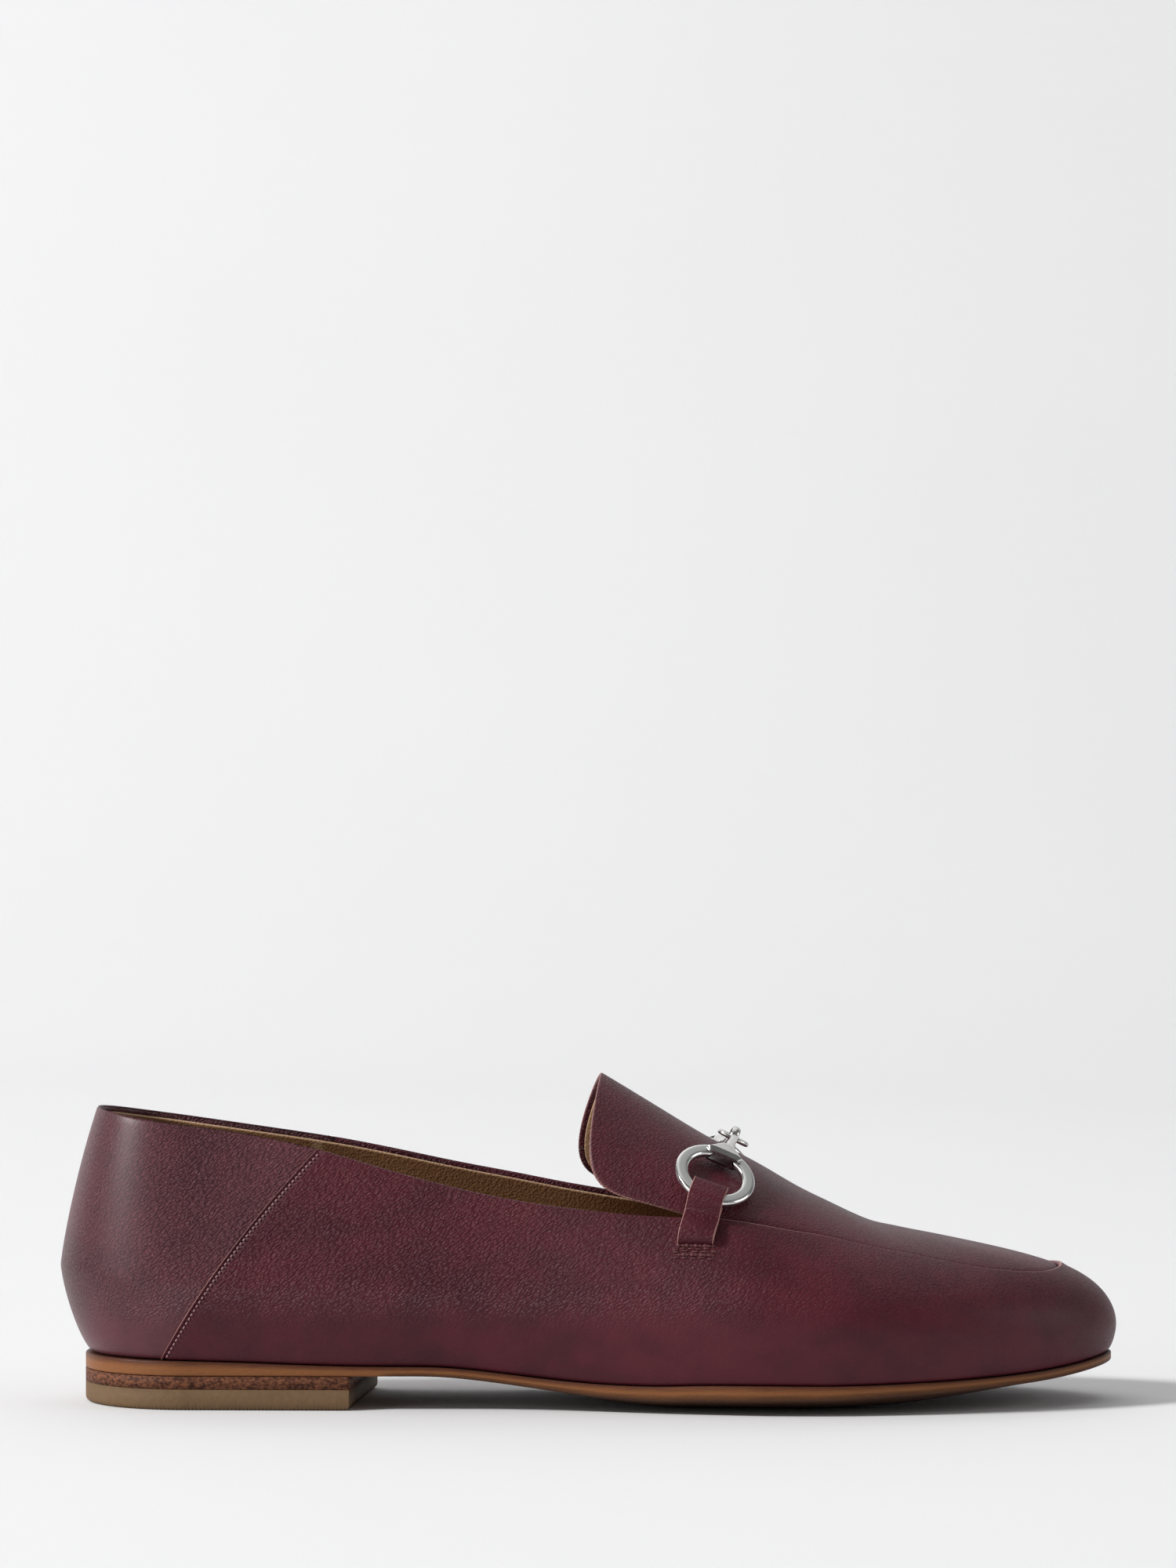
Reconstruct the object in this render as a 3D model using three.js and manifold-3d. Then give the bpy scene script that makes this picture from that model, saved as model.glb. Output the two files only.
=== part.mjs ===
// A leather bit loafer, the right shoe of a pair. Millimetres, +Z up, toe towards +X and the
// outer side of the foot towards -Y. The shoe is drawn with x = 0 at the back of the sole, y = 0
// on the heel's middle line and z = 0 on the floor, and the finished group is then moved so that
// its box is centred on the origin.
import * as THREE from "three";
import { mergeVertices } from "three/addons/utils/BufferGeometryUtils.js";
import Module from "manifold-3d";

const wasm = await Module();
wasm.setup();

// The last and the sole
const SOLE_LENGTH = 257;
const BALL_WIDTH = 84;
const HEEL_WIDTH = 53;
const INSTEP_HEIGHT = 65.3;
const BACK_HEIGHT = 74.4;
const HEEL_ROUND = 27;
const TOE_ROUND = 52;
const TOE_FULLNESS = 1.8;
const TOE_SPRING = 9.7;
const BALL_CROWN = 3.9;
const SOLE_THICKNESS = 3.9;
const SOLE_BEVEL = 0.45;
const FEATHER_SETBACK = 1;

// The heel
const TOP_PIECE_HEIGHT = 5.1;
const HEEL_STACK_HEIGHT = 3.1;
const GLUE_LINE = 0.1;
const BREAST_OUTER = 67;
const BREAST_INNER = 72;
const HEEL_EDGE_ROUND = 0.8;

// The upper
const UPPER_WALL = 2;
const LASTING_MARGIN = 9;
const SEAM_STEP = 0.45;
const PLUG_STEP = 0.5;
const STEP_RUN = 0.3;
const JUNCTION = 0.5953 * SOLE_LENGTH;
const APRON_SETBACK = 13;
const APRON_FULLNESS = 2.4;
const TONGUE_LENGTH = 24.2;
const TONGUE_FLARE_OUTER = 5.4;
const TONGUE_FLARE_INNER = 9.5;
const TONGUE_CURVE = 1.7;
const TONGUE_RISE = -0.05;
const TONGUE_SQUARENESS = 7;
const FIT_GAP = 0.3;
const WELD = 1e-4;
const APRON_START = 0.008;

// The insole
const INSOLE_THICKNESS = 2;
const INSOLE_ROUND = 0.6;

// The bit: two rings, two half bars and the straps that hold the rings
const RING_RADIUS = 10.2;
const RING_BAND = 3.3;
const RING_THICKNESS = 2;
const RING_BEVEL = 0.6;
const RING_STATION = JUNCTION + 3.5;
const RING_REACH_OUTER = 0.334 * BALL_WIDTH;
const RING_REACH_INNER = 0.281 * BALL_WIDTH;
const RING_SEAT = 0.8;
const RING_SLOPE = 28;
const RING_TILT = -1;
const RING_TURN = 3;
const BLOCK_LENGTH = 9.3;
const BLOCK_WIDTH = 5.2;
const BLOCK_THICKNESS = 4.4;
const BLOCK_BEVEL = 0.8;
const BLOCK_BEND = 0.6;
const TRUMPET_LENGTH = 8;
const TRUMPET_RADIUS = 4.45;
const NECK_RADIUS = 1.05;
const EYE_STATION = JUNCTION + 8;
const EYE_LIFT = 2.35;
const EYE_WIRE = 0.65;
const EYE_REACH = 2.6;
const EYE_BREADTH = 3.7;
const UPRIGHT_RISE = 0.45;
const UPRIGHT_HEIGHT = 1.9;
const UPRIGHT_WIRE = 0.55;
const UPRIGHT_BREADTH = 1.1;
const STRAP_WIDTH = 8.7;
const STRAP_LEATHER = 1;
const STRAP_CLEARANCE = 0.42;
const STRAP_SLOPE = 20;
const STRAP_TWIST = 0.4;
const STRAP_LIFT = 0.36;
const STRAP_DRAPE = 0.8;
const SLIT_STATION = JUNCTION - 1.1;
const STRAP_DROP = 18.6;
const SLIT_SLOPE = 4;

const COLOURS = {
  burgundy: 0x5a2a38,
  tan: 0x8c6a45,
  sole: 0xa87c4c,
  stack: 0x6b4238,
  topPiece: 0x9b8a70,
  satin: 0xc4c6c2,
  chrome: 0xd8d8d8,
};

// A natural cubic spline through the given values, level beyond its ends.
function spline(places, values) {
  const last = places.length - 1;
  const bend = new Array(last + 1).fill(0);
  const load = new Array(last + 1).fill(0);
  const slope = (i) => (values[i + 1] - values[i]) / (places[i + 1] - places[i]);
  for (let i = 1; i < last; i++) {
    const span = places[i + 1] - places[i - 1];
    const part = (places[i] - places[i - 1]) / span;
    const pivot = part * bend[i - 1] + 2;
    bend[i] = (part - 1) / pivot;
    load[i] = ((6 * (slope(i) - slope(i - 1))) / span - part * load[i - 1]) / pivot;
  }
  for (let i = last - 1; i > 0; i--) bend[i] = bend[i] * bend[i + 1] + load[i];
  return (place) => {
    const x = Math.min(places[last], Math.max(places[0], place));
    let i = 0;
    while (i < last - 1 && places[i + 1] < x) i++;
    const step = places[i + 1] - places[i];
    const far = (x - places[i]) / step;
    const near = 1 - far;
    const curve = (near ** 3 - near) * bend[i] + (far ** 3 - far) * bend[i + 1];
    return near * values[i] + far * values[i + 1] + (curve * step * step) / 6;
  };
}

// A table of sections: the first column is the place along the sole as a share of its length,
// and each other column becomes a smooth function of the distance from the back of the sole.
function table(names, rows) {
  const places = rows.map((row) => row[0] * SOLE_LENGTH);
  return Object.fromEntries(
    names.slice(1).map((name, k) => [name, spline(places, rows.map((row) => row[k + 1]))]),
  );
}

// Half widths of the sole from its spine, as shares of a width that passes from the heel's to
// the ball's, and the sideways drift of the spine as a share of the ball width.
const plan = table(
  ["at", "outer", "inner", "ball", "drift"],
  [
    [0.0, 0.5, 0.5, 0.0, 0.0],
    [0.12, 0.5, 0.5, 0.0, 0.0],
    [0.2, 0.512, 0.505, 0.0, 0.0],
    [0.26, 0.504, 0.485, 0.05, 0.0],
    [0.35, 0.468, 0.419, 0.2, 0.002],
    [0.43, 0.442, 0.357, 0.45, 0.007],
    [0.505, 0.458, 0.339, 0.7, 0.014],
    [0.58, 0.492, 0.371, 0.9, 0.024],
    [0.64, 0.519, 0.415, 1.0, 0.031],
    [0.68, 0.532, 0.44, 1.0, 0.036],
    [0.72, 0.532, 0.453, 1.0, 0.038],
    [0.78, 0.506, 0.446, 1.0, 0.041],
    [0.84, 0.469, 0.424, 1.0, 0.042],
    [0.9, 0.446, 0.417, 1.0, 0.042],
    [1.0, 0.44, 0.417, 1.0, 0.042],
  ],
);

// The sole's own heights: crown of its edges as a share of BALL_CROWN, and its thickness as a
// share of SOLE_THICKNESS.
const soleSection = table(
  ["at", "crown", "thickness"],
  [
    [0.0, 0.0, 1.0],
    [0.08, 0.0, 0.95],
    [0.16, 0.0, 0.82],
    [0.24, 0.0, 0.65],
    [0.33, 0.0, 0.59],
    [0.4, 0.1, 0.62],
    [0.47, 0.4, 0.73],
    [0.52, 0.68, 0.85],
    [0.58, 0.9, 0.96],
    [0.68, 1.0, 0.95],
    [0.78, 1.03, 0.78],
    [0.87, 0.68, 0.66],
    [0.94, 0.26, 0.62],
    [1.0, 0.0, 0.6],
  ],
);

// Sections of the last. Swell is how far the wall stands out beyond the sole's edge, as a share
// of the ball width; bulge is the height of its widest place, as a share of the instep height.
// Shoulder and crest are the powers of the curve from there up to the ridge, and skirt is the
// power of the curve down to the sole.
const last = table(
  ["at", "swellOuter", "swellInner", "bulge", "shoulder", "crest", "skirt"],
  [
    [0.0, 0.08, 0.08, 0.521, 1.9, 1.2, 1.35],
    [0.11, 0.031, 0.031, 0.475, 1.35, 1.2, 1.45],
    [0.26, 0.033, 0.04, 0.459, 1.3, 1.2, 1.5],
    [0.35, 0.039, 0.062, 0.444, 1.35, 1.25, 1.5],
    [0.43, 0.04, 0.069, 0.433, 1.6, 1.4, 1.5],
    [0.52, 0.036, 0.052, 0.417, 1.95, 1.5, 1.55],
    [0.6, 0.032, 0.036, 0.386, 2.35, 1.6, 1.6],
    [0.68, 0.029, 0.027, 0.343, 2.4, 1.75, 1.6],
    [0.78, 0.026, 0.025, 0.315, 2.35, 1.9, 1.6],
    [0.9, 0.02, 0.02, 0.294, 3.4, 2.0, 1.6],
    [1.0, 0.0155, 0.0155, 0.285, 6.6, 2.0, 1.6],
  ],
);

// The ridge of the last, from the cone behind the instep down to the toe: a share of the instep
// height and, on the cone that the tongue lies on, a share of the back height too.
const ridge = table(
  ["at", "instep", "cone"],
  [
    [0.0, 1.0, 0.601],
    [0.156, 1.0, 0.601],
    [0.28, 1.0, 0.594],
    [0.381, 1.0, 0.473],
    [0.444, 1.0, 0.347],
    [0.5, 1.0, 0.232],
    [0.565, 1.0, 0.095],
    [0.611, 1.0, 0.0],
    [0.657, 0.904, 0.0],
    [0.688, 0.832, 0.0],
    [0.718, 0.769, 0.0],
    [0.749, 0.716, 0.0],
    [0.778, 0.68, 0.0],
    [0.825, 0.635, 0.0],
    [0.887, 0.585, 0.0],
    [0.946, 0.538, 0.0],
    [1.005, 0.489, 0.0],
  ],
);
const ridgeHeight = (x) => ridge.instep(x) * INSTEP_HEIGHT + ridge.cone(x) * BACK_HEIGHT;

// The collar's height above the floor, as a share of its height at the back.
const collar = table(
  ["at", "outer", "inner"],
  [
    [0.0, 1.0, 1.0],
    [0.047, 0.969, 0.969],
    [0.109, 0.938, 0.938],
    [0.171, 0.906, 0.907],
    [0.233, 0.859, 0.873],
    [0.304, 0.789, 0.825],
    [0.362, 0.738, 0.782],
    [0.42, 0.698, 0.743],
    [0.479, 0.672, 0.703],
    [0.537, 0.656, 0.675],
    [0.595, 0.651, 0.653],
  ],
);

// Half widths of the apron from the spine, as shares of the ball width; past TOE_TURN they close
// in a round front.
const apron = table(
  ["at", "outer", "inner"],
  [
    [0.595, 0.424, 0.338],
    [0.64, 0.43, 0.345],
    [0.68, 0.416, 0.335],
    [0.72, 0.378, 0.316],
    [0.76, 0.352, 0.3],
    [0.8, 0.332, 0.292],
    [0.86, 0.32, 0.292],
    [0.95, 0.325, 0.297],
  ],
);

const OUTER = -1;
const INNER = 1;
const SIDES = [OUTER, INNER];
const pick = (side, outer, inner) => (side === OUTER ? outer : inner);
const mix = (a, b, share) => a + (b - a) * share;
const clamp = (value, low, high) => Math.min(high, Math.max(low, value));
const smooth = (value) => {
  const t = clamp(value, 0, 1);
  return t * t * (3 - 2 * t);
};
const roundEnd = (share, power) => Math.max(0, 1 - clamp(share, 0, 1) ** power) ** (1 / power);
const steps = (count, from = 0, to = 1) =>
  Array.from({ length: count + 1 }, (_, i) => mix(from, to, i / count));

// The place where a rising function passes through zero.
function solve(rising, low, high) {
  for (let i = 0; i < 34; i++) {
    const middle = (low + high) / 2;
    if (rising(middle) > 0) high = middle;
    else low = middle;
  }
  return (low + high) / 2;
}

// The shoe is measured on rays. They fan out round the heel from one centre, stand square to the
// length along the waist, and fan out round the toe from another centre. Girth is the distance
// travelled along the shoe: a quarter turn at the heel, the straight part, a quarter turn at the
// toe.
const HEEL_TURN = HEEL_ROUND;
const TOE_TURN = SOLE_LENGTH - TOE_ROUND;
const HEEL_GIRTH = (Math.PI / 2) * HEEL_ROUND;
const TOE_GIRTH = (Math.PI / 2) * TOE_ROUND * 0.8;
const TOE_START = HEEL_GIRTH + TOE_TURN - HEEL_TURN;
const GIRTH = TOE_START + TOE_GIRTH;
const girthAt = (x) => HEEL_GIRTH + x - HEEL_TURN;
const JUNCTION_GIRTH = girthAt(JUNCTION);

function soleHalfWidth(x, side) {
  if (x < 0 || x > SOLE_LENGTH) return -1;
  const full = pick(side, plan.outer(x), plan.inner(x)) * mix(HEEL_WIDTH, BALL_WIDTH, plan.ball(x));
  const back = roundEnd((HEEL_TURN - x) / HEEL_ROUND, 2);
  return full * back * roundEnd((x - TOE_TURN) / TOE_ROUND, TOE_FULLNESS);
}

function apronHalfWidth(x, side) {
  const front = SOLE_LENGTH - APRON_SETBACK;
  if (x > front) return -1;
  const full = pick(side, apron.outer(x), apron.inner(x)) * BALL_WIDTH;
  return full * roundEnd((x - TOE_TURN) / (front - TOE_TURN), APRON_FULLNESS);
}

// Bottom of the sole on its middle line: level on the heel and under the ball, raised at the
// waist and sprung at the toe.
const SEAT_HEIGHT = TOP_PIECE_HEIGHT + HEEL_STACK_HEIGHT + 2 * GLUE_LINE;
const FLAT_START = 0.575 * SOLE_LENGTH;
const FLAT_END = 0.708 * SOLE_LENGTH;
const WAIST_START = 0.325 * SOLE_LENGTH;
const FLAT_SHARE = 0.4;
const SPRING_POWER = 1.8;

function soleMiddleBottom(x) {
  if (x <= FLAT_START) return SEAT_HEIGHT * smooth((FLAT_START - x) / (FLAT_START - WAIST_START));
  if (x <= FLAT_END) return 0;
  return TOE_SPRING * ((x - FLAT_END) / (SOLE_LENGTH - FLAT_END)) ** SPRING_POWER;
}

const crownShare = (share) => Math.max(0, (share - FLAT_SHARE) / (1 - FLAT_SHARE)) ** 2;
const soleBottom = (x, share) =>
  soleMiddleBottom(x) + BALL_CROWN * Math.max(0, soleSection.crown(x)) * crownShare(share);
const soleTop = (x, share) => soleBottom(x, share) + SOLE_THICKNESS * soleSection.thickness(x);

// One ray of the fan, with the sizes of the last on it.
const rays = new Map();
function rayAt(girth, side) {
  const key = side * (girth + 1);
  if (rays.has(key)) return rays.get(key);
  let x = clamp(HEEL_TURN + girth - HEEL_GIRTH, HEEL_TURN, TOE_TURN);
  let angle = Math.PI / 2;
  if (girth < HEEL_GIRTH) angle = Math.PI * (1 - girth / HEEL_GIRTH / 2);
  if (girth > TOE_START) angle = (Math.PI / 2) * (1 - (girth - TOE_START) / TOE_GIRTH);
  const along = Math.abs(angle - Math.PI / 2) < 1e-9 ? 0 : Math.cos(angle);
  const across = side * (girth <= 0 || girth >= GIRTH ? 0 : Math.sin(angle));
  const y = plan.drift(x) * BALL_WIDTH;
  const reachOf = (halfWidth) =>
    solve((r) => r * Math.abs(across) - halfWidth(x + r * along, side), 0, SOLE_LENGTH / 2);
  const edge = reachOf(soleHalfWidth);
  const edgeX = x + edge * along;
  const swell = pick(side, last.swellOuter(edgeX), last.swellInner(edgeX)) * BALL_WIDTH;
  const foot = edge - FEATHER_SETBACK;
  const ray = {
    x,
    y,
    along,
    across,
    edge,
    foot,
    bulge: edge + swell,
    bulgeHeight: last.bulge(edgeX) * INSTEP_HEIGHT,
    shoulder: last.shoulder(edgeX),
    crest: last.crest(edgeX),
    skirt: last.skirt(edgeX),
    apron: reachOf(apronHalfWidth),
  };
  rays.set(key, ray);
  return ray;
}

const onRay = (ray, reach, height) =>
  new THREE.Vector3(ray.x + reach * ray.along, ray.y + reach * ray.across, height);
const onSole = (ray, reach, surface, rise = 0) =>
  onRay(ray, reach, surface(ray.x + reach * ray.along, reach / ray.edge) + rise);

// A point of the last. Lift runs from -1 at the sole, through 0 at the widest place, to 1 on the
// ridge; inset is the depth below the outer face of the upper.
function lastPoint(girth, side, lift, inset) {
  const ray = rayAt(girth, side);
  const turn = (Math.PI / 2) * Math.abs(lift);
  const flat = Math.abs(lift) >= 1 ? 0 : Math.cos(turn);
  if (lift < 0) {
    const under = onSole(ray, ray.foot - inset, soleTop).z + FIT_GAP;
    const low = under + inset * smooth(inset / UPPER_WALL);
    const reach = ray.foot - inset + (ray.bulge - ray.foot) * flat ** (2 / ray.skirt);
    const drop = (ray.bulgeHeight - low) * Math.sin(turn) ** (2 / ray.skirt);
    return onRay(ray, reach, ray.bulgeHeight - drop);
  }
  const reach = (ray.bulge - inset) * flat ** (2 / ray.shoulder);
  const top = ridgeHeight(ray.x + reach * ray.along) - inset;
  const rise = (top - ray.bulgeHeight) * Math.sin(turn) ** (2 / ray.crest);
  return onRay(ray, reach, ray.bulgeHeight + rise);
}

// Lift of the apron's edge on a ray, from its distance to the spine.
function apronLift(girth, side) {
  const ray = rayAt(girth, side);
  return Math.acos((ray.apron / ray.bulge) ** (ray.shoulder / 2)) / (Math.PI / 2);
}

// The collar runs into the apron's edge at the junction, so its height is eased to meet it.
const collarMiss = Object.fromEntries(
  SIDES.map((side) => [
    side,
    lastPoint(JUNCTION_GIRTH, side, apronLift(JUNCTION_GIRTH, side), 0).z -
      pick(side, collar.outer(JUNCTION), collar.inner(JUNCTION)) * BACK_HEIGHT,
  ]),
);
const COLLAR_EASE = 0.12 * SOLE_LENGTH;
const collarHeight = (x, side) =>
  pick(side, collar.outer(x), collar.inner(x)) * BACK_HEIGHT +
  collarMiss[side] * smooth(1 - (JUNCTION - x) / COLLAR_EASE);

// Lift of the wall's top edge: the collar behind the junction, the apron's edge before it.
function topLift(girth, side) {
  if (girth >= JUNCTION_GIRTH) return apronLift(girth, side);
  const own = girth > 0 ? side : OUTER;
  return solve((lift) => {
    const point = lastPoint(girth, own, lift, 0);
    return point.z - collarHeight(point.x, own);
  }, 0, 0.95);
}

// The counter's front edge: where the side wall laps over the counter, by height on the shoe.
const SEAM_FOOT = 18.4;
const SEAM_HEAD = 59.5;
const SEAM_BOW = 3.2;
function seamGirth(side, share) {
  const liftAt = (girth) => wallLift(girth, side, share);
  return solve((girth) => {
    const point = lastPoint(girth, side, liftAt(girth), 0);
    const rise = clamp((point.z - SEAT_HEIGHT) / (0.87 * BACK_HEIGHT - SEAT_HEIGHT), 0, 1);
    return point.x - mix(SEAM_FOOT, SEAM_HEAD, rise) + SEAM_BOW * 4 * rise * (1 - rise);
  }, HEEL_GIRTH / 3, girthAt(SEAM_HEAD + 10));
}

// Lift at a share of the wall's height, from 0 at the sole to 1 at the wall's top edge.
const SKIRT_SHARE = 0.36;
function wallLift(girth, side, share) {
  if (share < SKIRT_SHARE) return share / SKIRT_SHARE - 1;
  return (topLift(girth, side) * (share - SKIRT_SHARE)) / (1 - SKIRT_SHARE);
}

// Triangles collected from sheets of points, closed into one mesh where the sheets share edges.
class Skin {
  constructor() {
    this.corners = [];
  }

  triangle(a, b, c) {
    for (const point of [a, b, c]) this.corners.push(point.x, point.y, point.z);
  }

  sheet(rows, turned) {
    for (let i = 0; i + 1 < rows.length; i++) {
      for (let j = 0; j + 1 < rows[i].length; j++) {
        const [a, b] = [rows[i][j], rows[i + 1][j]];
        const [c, d] = [rows[i + 1][j + 1], rows[i][j + 1]];
        if (turned) {
          this.triangle(a, c, b);
          this.triangle(a, d, c);
        } else {
          this.triangle(a, b, c);
          this.triangle(a, c, d);
        }
      }
    }
  }

  geometry() {
    const loose = new THREE.BufferGeometry();
    loose.setAttribute("position", new THREE.Float32BufferAttribute(this.corners, 3));
    return closed(loose);
  }
}

// Merges shared vertices and drops the triangles that this leaves with two corners in one place.
function closed(loose) {
  const bare = new THREE.BufferGeometry();
  bare.setAttribute("position", loose.getAttribute("position"));
  if (loose.index) bare.setIndex(loose.index);
  const merged = mergeVertices(bare, WELD);
  const kept = [];
  const index = merged.index.array;
  for (let i = 0; i < index.length; i += 3) {
    const [a, b, c] = [index[i], index[i + 1], index[i + 2]];
    if (a !== b && b !== c && c !== a) kept.push(a, b, c);
  }
  merged.setIndex(kept);
  merged.computeVertexNormals();
  return merged;
}

// A closed body of half sections: each ray carries the same open line of points, from the upper
// middle round the edge to the lower middle.
function fanBody(girths, section) {
  const skin = new Skin();
  for (const side of SIDES) {
    const rows = girths.map((girth) => section(rayAt(girth, side)));
    skin.sheet(rows, side === OUTER);
  }
  return skin.geometry();
}

const fanGirths = (heelSteps, waistSteps, toeSteps) => [
  ...steps(heelSteps, 0, HEEL_GIRTH).slice(0, -1),
  ...steps(waistSteps, HEEL_GIRTH, TOE_START).slice(0, -1),
  ...steps(toeSteps, TOE_START, GIRTH),
];

// Outsole: thin at the waist, crowned under the ball, flat on the heel and where it meets the
// floor, with its edge square and its corners broken.
function outsoleGeometry() {
  const topShares = [0, 0.45, 0.75];
  const bottomShares = [0.86, 0.7, 0.55, FLAT_SHARE, 0];
  return fanBody(fanGirths(8, 22, 10), (ray) => {
    const inside = ray.edge - SOLE_BEVEL;
    return [
      ...topShares.map((share) => onSole(ray, share * ray.edge, soleTop)),
      onSole(ray, inside, soleTop),
      onSole(ray, ray.edge, soleTop, -SOLE_BEVEL),
      onSole(ray, ray.edge, soleBottom, SOLE_BEVEL),
      onSole(ray, inside, soleBottom),
      ...bottomShares.map((share) => onSole(ray, share * ray.edge, soleBottom)),
    ];
  });
}

// Insole: lies on the lasting margin, and its filler fills the space inside the margin.
function insoleGeometry() {
  const onMargin = FIT_GAP + UPPER_WALL + FIT_GAP;
  return fanBody(fanGirths(7, 16, 8), (ray) => {
    const rim = ray.foot - UPPER_WALL - FIT_GAP;
    const filler = ray.foot - LASTING_MARGIN - FIT_GAP;
    const top = onMargin + INSOLE_THICKNESS;
    return [
      onSole(ray, 0, soleTop, top),
      onSole(ray, rim / 2, soleTop, top),
      onSole(ray, rim - INSOLE_ROUND, soleTop, top),
      onSole(ray, rim, soleTop, top - INSOLE_ROUND),
      onSole(ray, rim, soleTop, onMargin),
      onSole(ray, filler, soleTop, onMargin),
      onSole(ray, filler, soleTop, FIT_GAP),
      onSole(ray, filler / 2, soleTop, FIT_GAP),
      onSole(ray, 0, soleTop, FIT_GAP),
    ];
  });
}

// Outline of the heel at a distance inside the sole's edge, closed in front by the breast.
function heelOutline(inset) {
  const turnCount = 9;
  const lines = SIDES.map((side) => {
    const breast = pick(side, BREAST_OUTER, BREAST_INNER) - inset;
    const girths = [...steps(turnCount, 0, HEEL_GIRTH), ...steps(3, HEEL_GIRTH, girthAt(breast)).slice(1)];
    return girths.map((girth) => {
      const ray = rayAt(girth, side);
      const point = onRay(ray, ray.edge - inset, 0);
      return new THREE.Vector2(point.x, point.y);
    });
  });
  const [outer, inner] = lines;
  return [...outer.slice(1).reverse(), ...inner];
}

// Triangles of a flat outline with holes, as corner numbers that all turn the same way.
function flatFaces(outline, holes = []) {
  const corners = [...outline, ...holes.flat()];
  return THREE.ShapeUtils.triangulateShape([...outline], holes.map((hole) => [...hole])).map((face) => {
    const [a, b, c] = face.map((k) => corners[k]);
    return b.clone().sub(a).cross(c.clone().sub(a)) > 0 ? face : face.toReversed();
  });
}

// A flat slab through levels of height and inset, closed by flat faces.
function slabGeometry(levels) {
  const skin = new Skin();
  const rings = levels.map(([height, inset]) =>
    heelOutline(inset).map((point) => new THREE.Vector3(point.x, point.y, height)),
  );
  skin.sheet(rings.map((ring) => [...ring, ring[0]]), false);
  const [low, high] = [rings[0], rings[rings.length - 1]];
  const outline = low.map((point) => new THREE.Vector2(point.x, point.y));
  for (const [i, j, k] of flatFaces(outline)) {
    skin.triangle(low[i], low[k], low[j]);
    skin.triangle(high[i], high[j], high[k]);
  }
  return skin.geometry();
}

// The upper: counter, side walls, apron and tongue as one hollow shell. Each side is a sheet of
// wall from the lasting margin to the wall's top edge and, from the junction forwards, a sheet of
// apron up to the ridge. The tongue is the apron's sheet carried on behind the junction, free of
// the walls.
const COUNTER_ROWS = 9;
const QUARTER_ROWS = 14;
const VAMP_ROWS = 8;
const TOE_ROWS = 9;
const WALL_SHARES = [0, 0.1, 0.2, 0.29, SKIRT_SHARE, 0.46, 0.56, 0.67, 0.78, 0.89, 1];
const APRON_COLUMNS = 8;
const TONGUE_ROWS = 8;

function upperGirths(side, share) {
  const seam = seamGirth(side, share);
  return {
    counter: [...steps(COUNTER_ROWS, 0, seam).slice(0, -1), seam - STEP_RUN],
    front: [
      ...steps(QUARTER_ROWS, seam, JUNCTION_GIRTH).slice(0, -1),
      ...steps(VAMP_ROWS, JUNCTION_GIRTH, TOE_START).slice(0, -1),
      ...steps(TOE_ROWS, TOE_START, GIRTH),
    ],
  };
}

function marginPoint(girth, side, rise) {
  const ray = rayAt(girth, side);
  return onSole(ray, ray.foot - LASTING_MARGIN, soleTop, FIT_GAP + rise);
}

function wallColumn(side, share, inset) {
  const { counter, front } = upperGirths(side, share);
  const point = (girth, depth) => lastPoint(girth, side, wallLift(girth, side, share), depth);
  if (inset > 0) return [...counter.slice(0, -1), front[0], ...front].map((girth) => point(girth, inset));
  return [...counter.map((girth) => point(girth, SEAM_STEP)), ...front.map((girth) => point(girth, 0))];
}

function wallSheet(side, inset) {
  const { counter, front } = upperGirths(side, 0);
  const girths = [...counter.slice(0, -1), front[0], ...front];
  const rise = inset > 0 ? UPPER_WALL : 0;
  const columns = [girths.map((girth) => marginPoint(girth, side, rise))];
  for (const share of WALL_SHARES) columns.push(wallColumn(side, share, inset));
  return girths.map((_, row) => columns.map((column) => column[row]));
}

const JUNCTION_ROW = COUNTER_ROWS + 1 + QUARTER_ROWS;

function apronSheet(side, inset) {
  const girths = upperGirths(side, 1).front.slice(QUARTER_ROWS);
  return girths.map((girth) => {
    const start = apronLift(girth, side) + (inset < UPPER_WALL ? APRON_START : 0);
    return steps(APRON_COLUMNS, start, 1).map((lift) => lastPoint(girth, side, lift, inset));
  });
}

// Rows from the junction back to the tongue's free edge, which is a squared round outline.
function tongueSheet(side, inset) {
  const base = apronLift(JUNCTION_GIRTH, side) + (inset < UPPER_WALL ? APRON_START : 0);
  const flare = pick(side, TONGUE_FLARE_OUTER, TONGUE_FLARE_INNER);
  return steps(TONGUE_ROWS).map((back) =>
    steps(APRON_COLUMNS, 1, 0).map((turn) => {
      const [cos, sin] = [Math.cos((turn * Math.PI) / 2), Math.sin((turn * Math.PI) / 2)];
      const size = (cos ** TONGUE_SQUARENESS + sin ** TONGUE_SQUARENESS) ** (-1 / TONGUE_SQUARENESS);
      const across = mix(turn, size * sin, back);
      const length = TONGUE_LENGTH + flare * across ** TONGUE_CURVE;
      const behind = length * back * (turn === 1 ? 0 : size * cos);
      const lift = base + (TONGUE_RISE * (1 - base) * behind) / length;
      return lastPoint(JUNCTION_GIRTH - behind, side, 1 - (1 - lift) * (turn === 1 ? 1 : across), inset);
    }),
  );
}

const column = (sheet, k) => sheet.map((row) => row[k]);
const strip = (a, b) => a.map((point, i) => [point, b[i]]);

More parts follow.
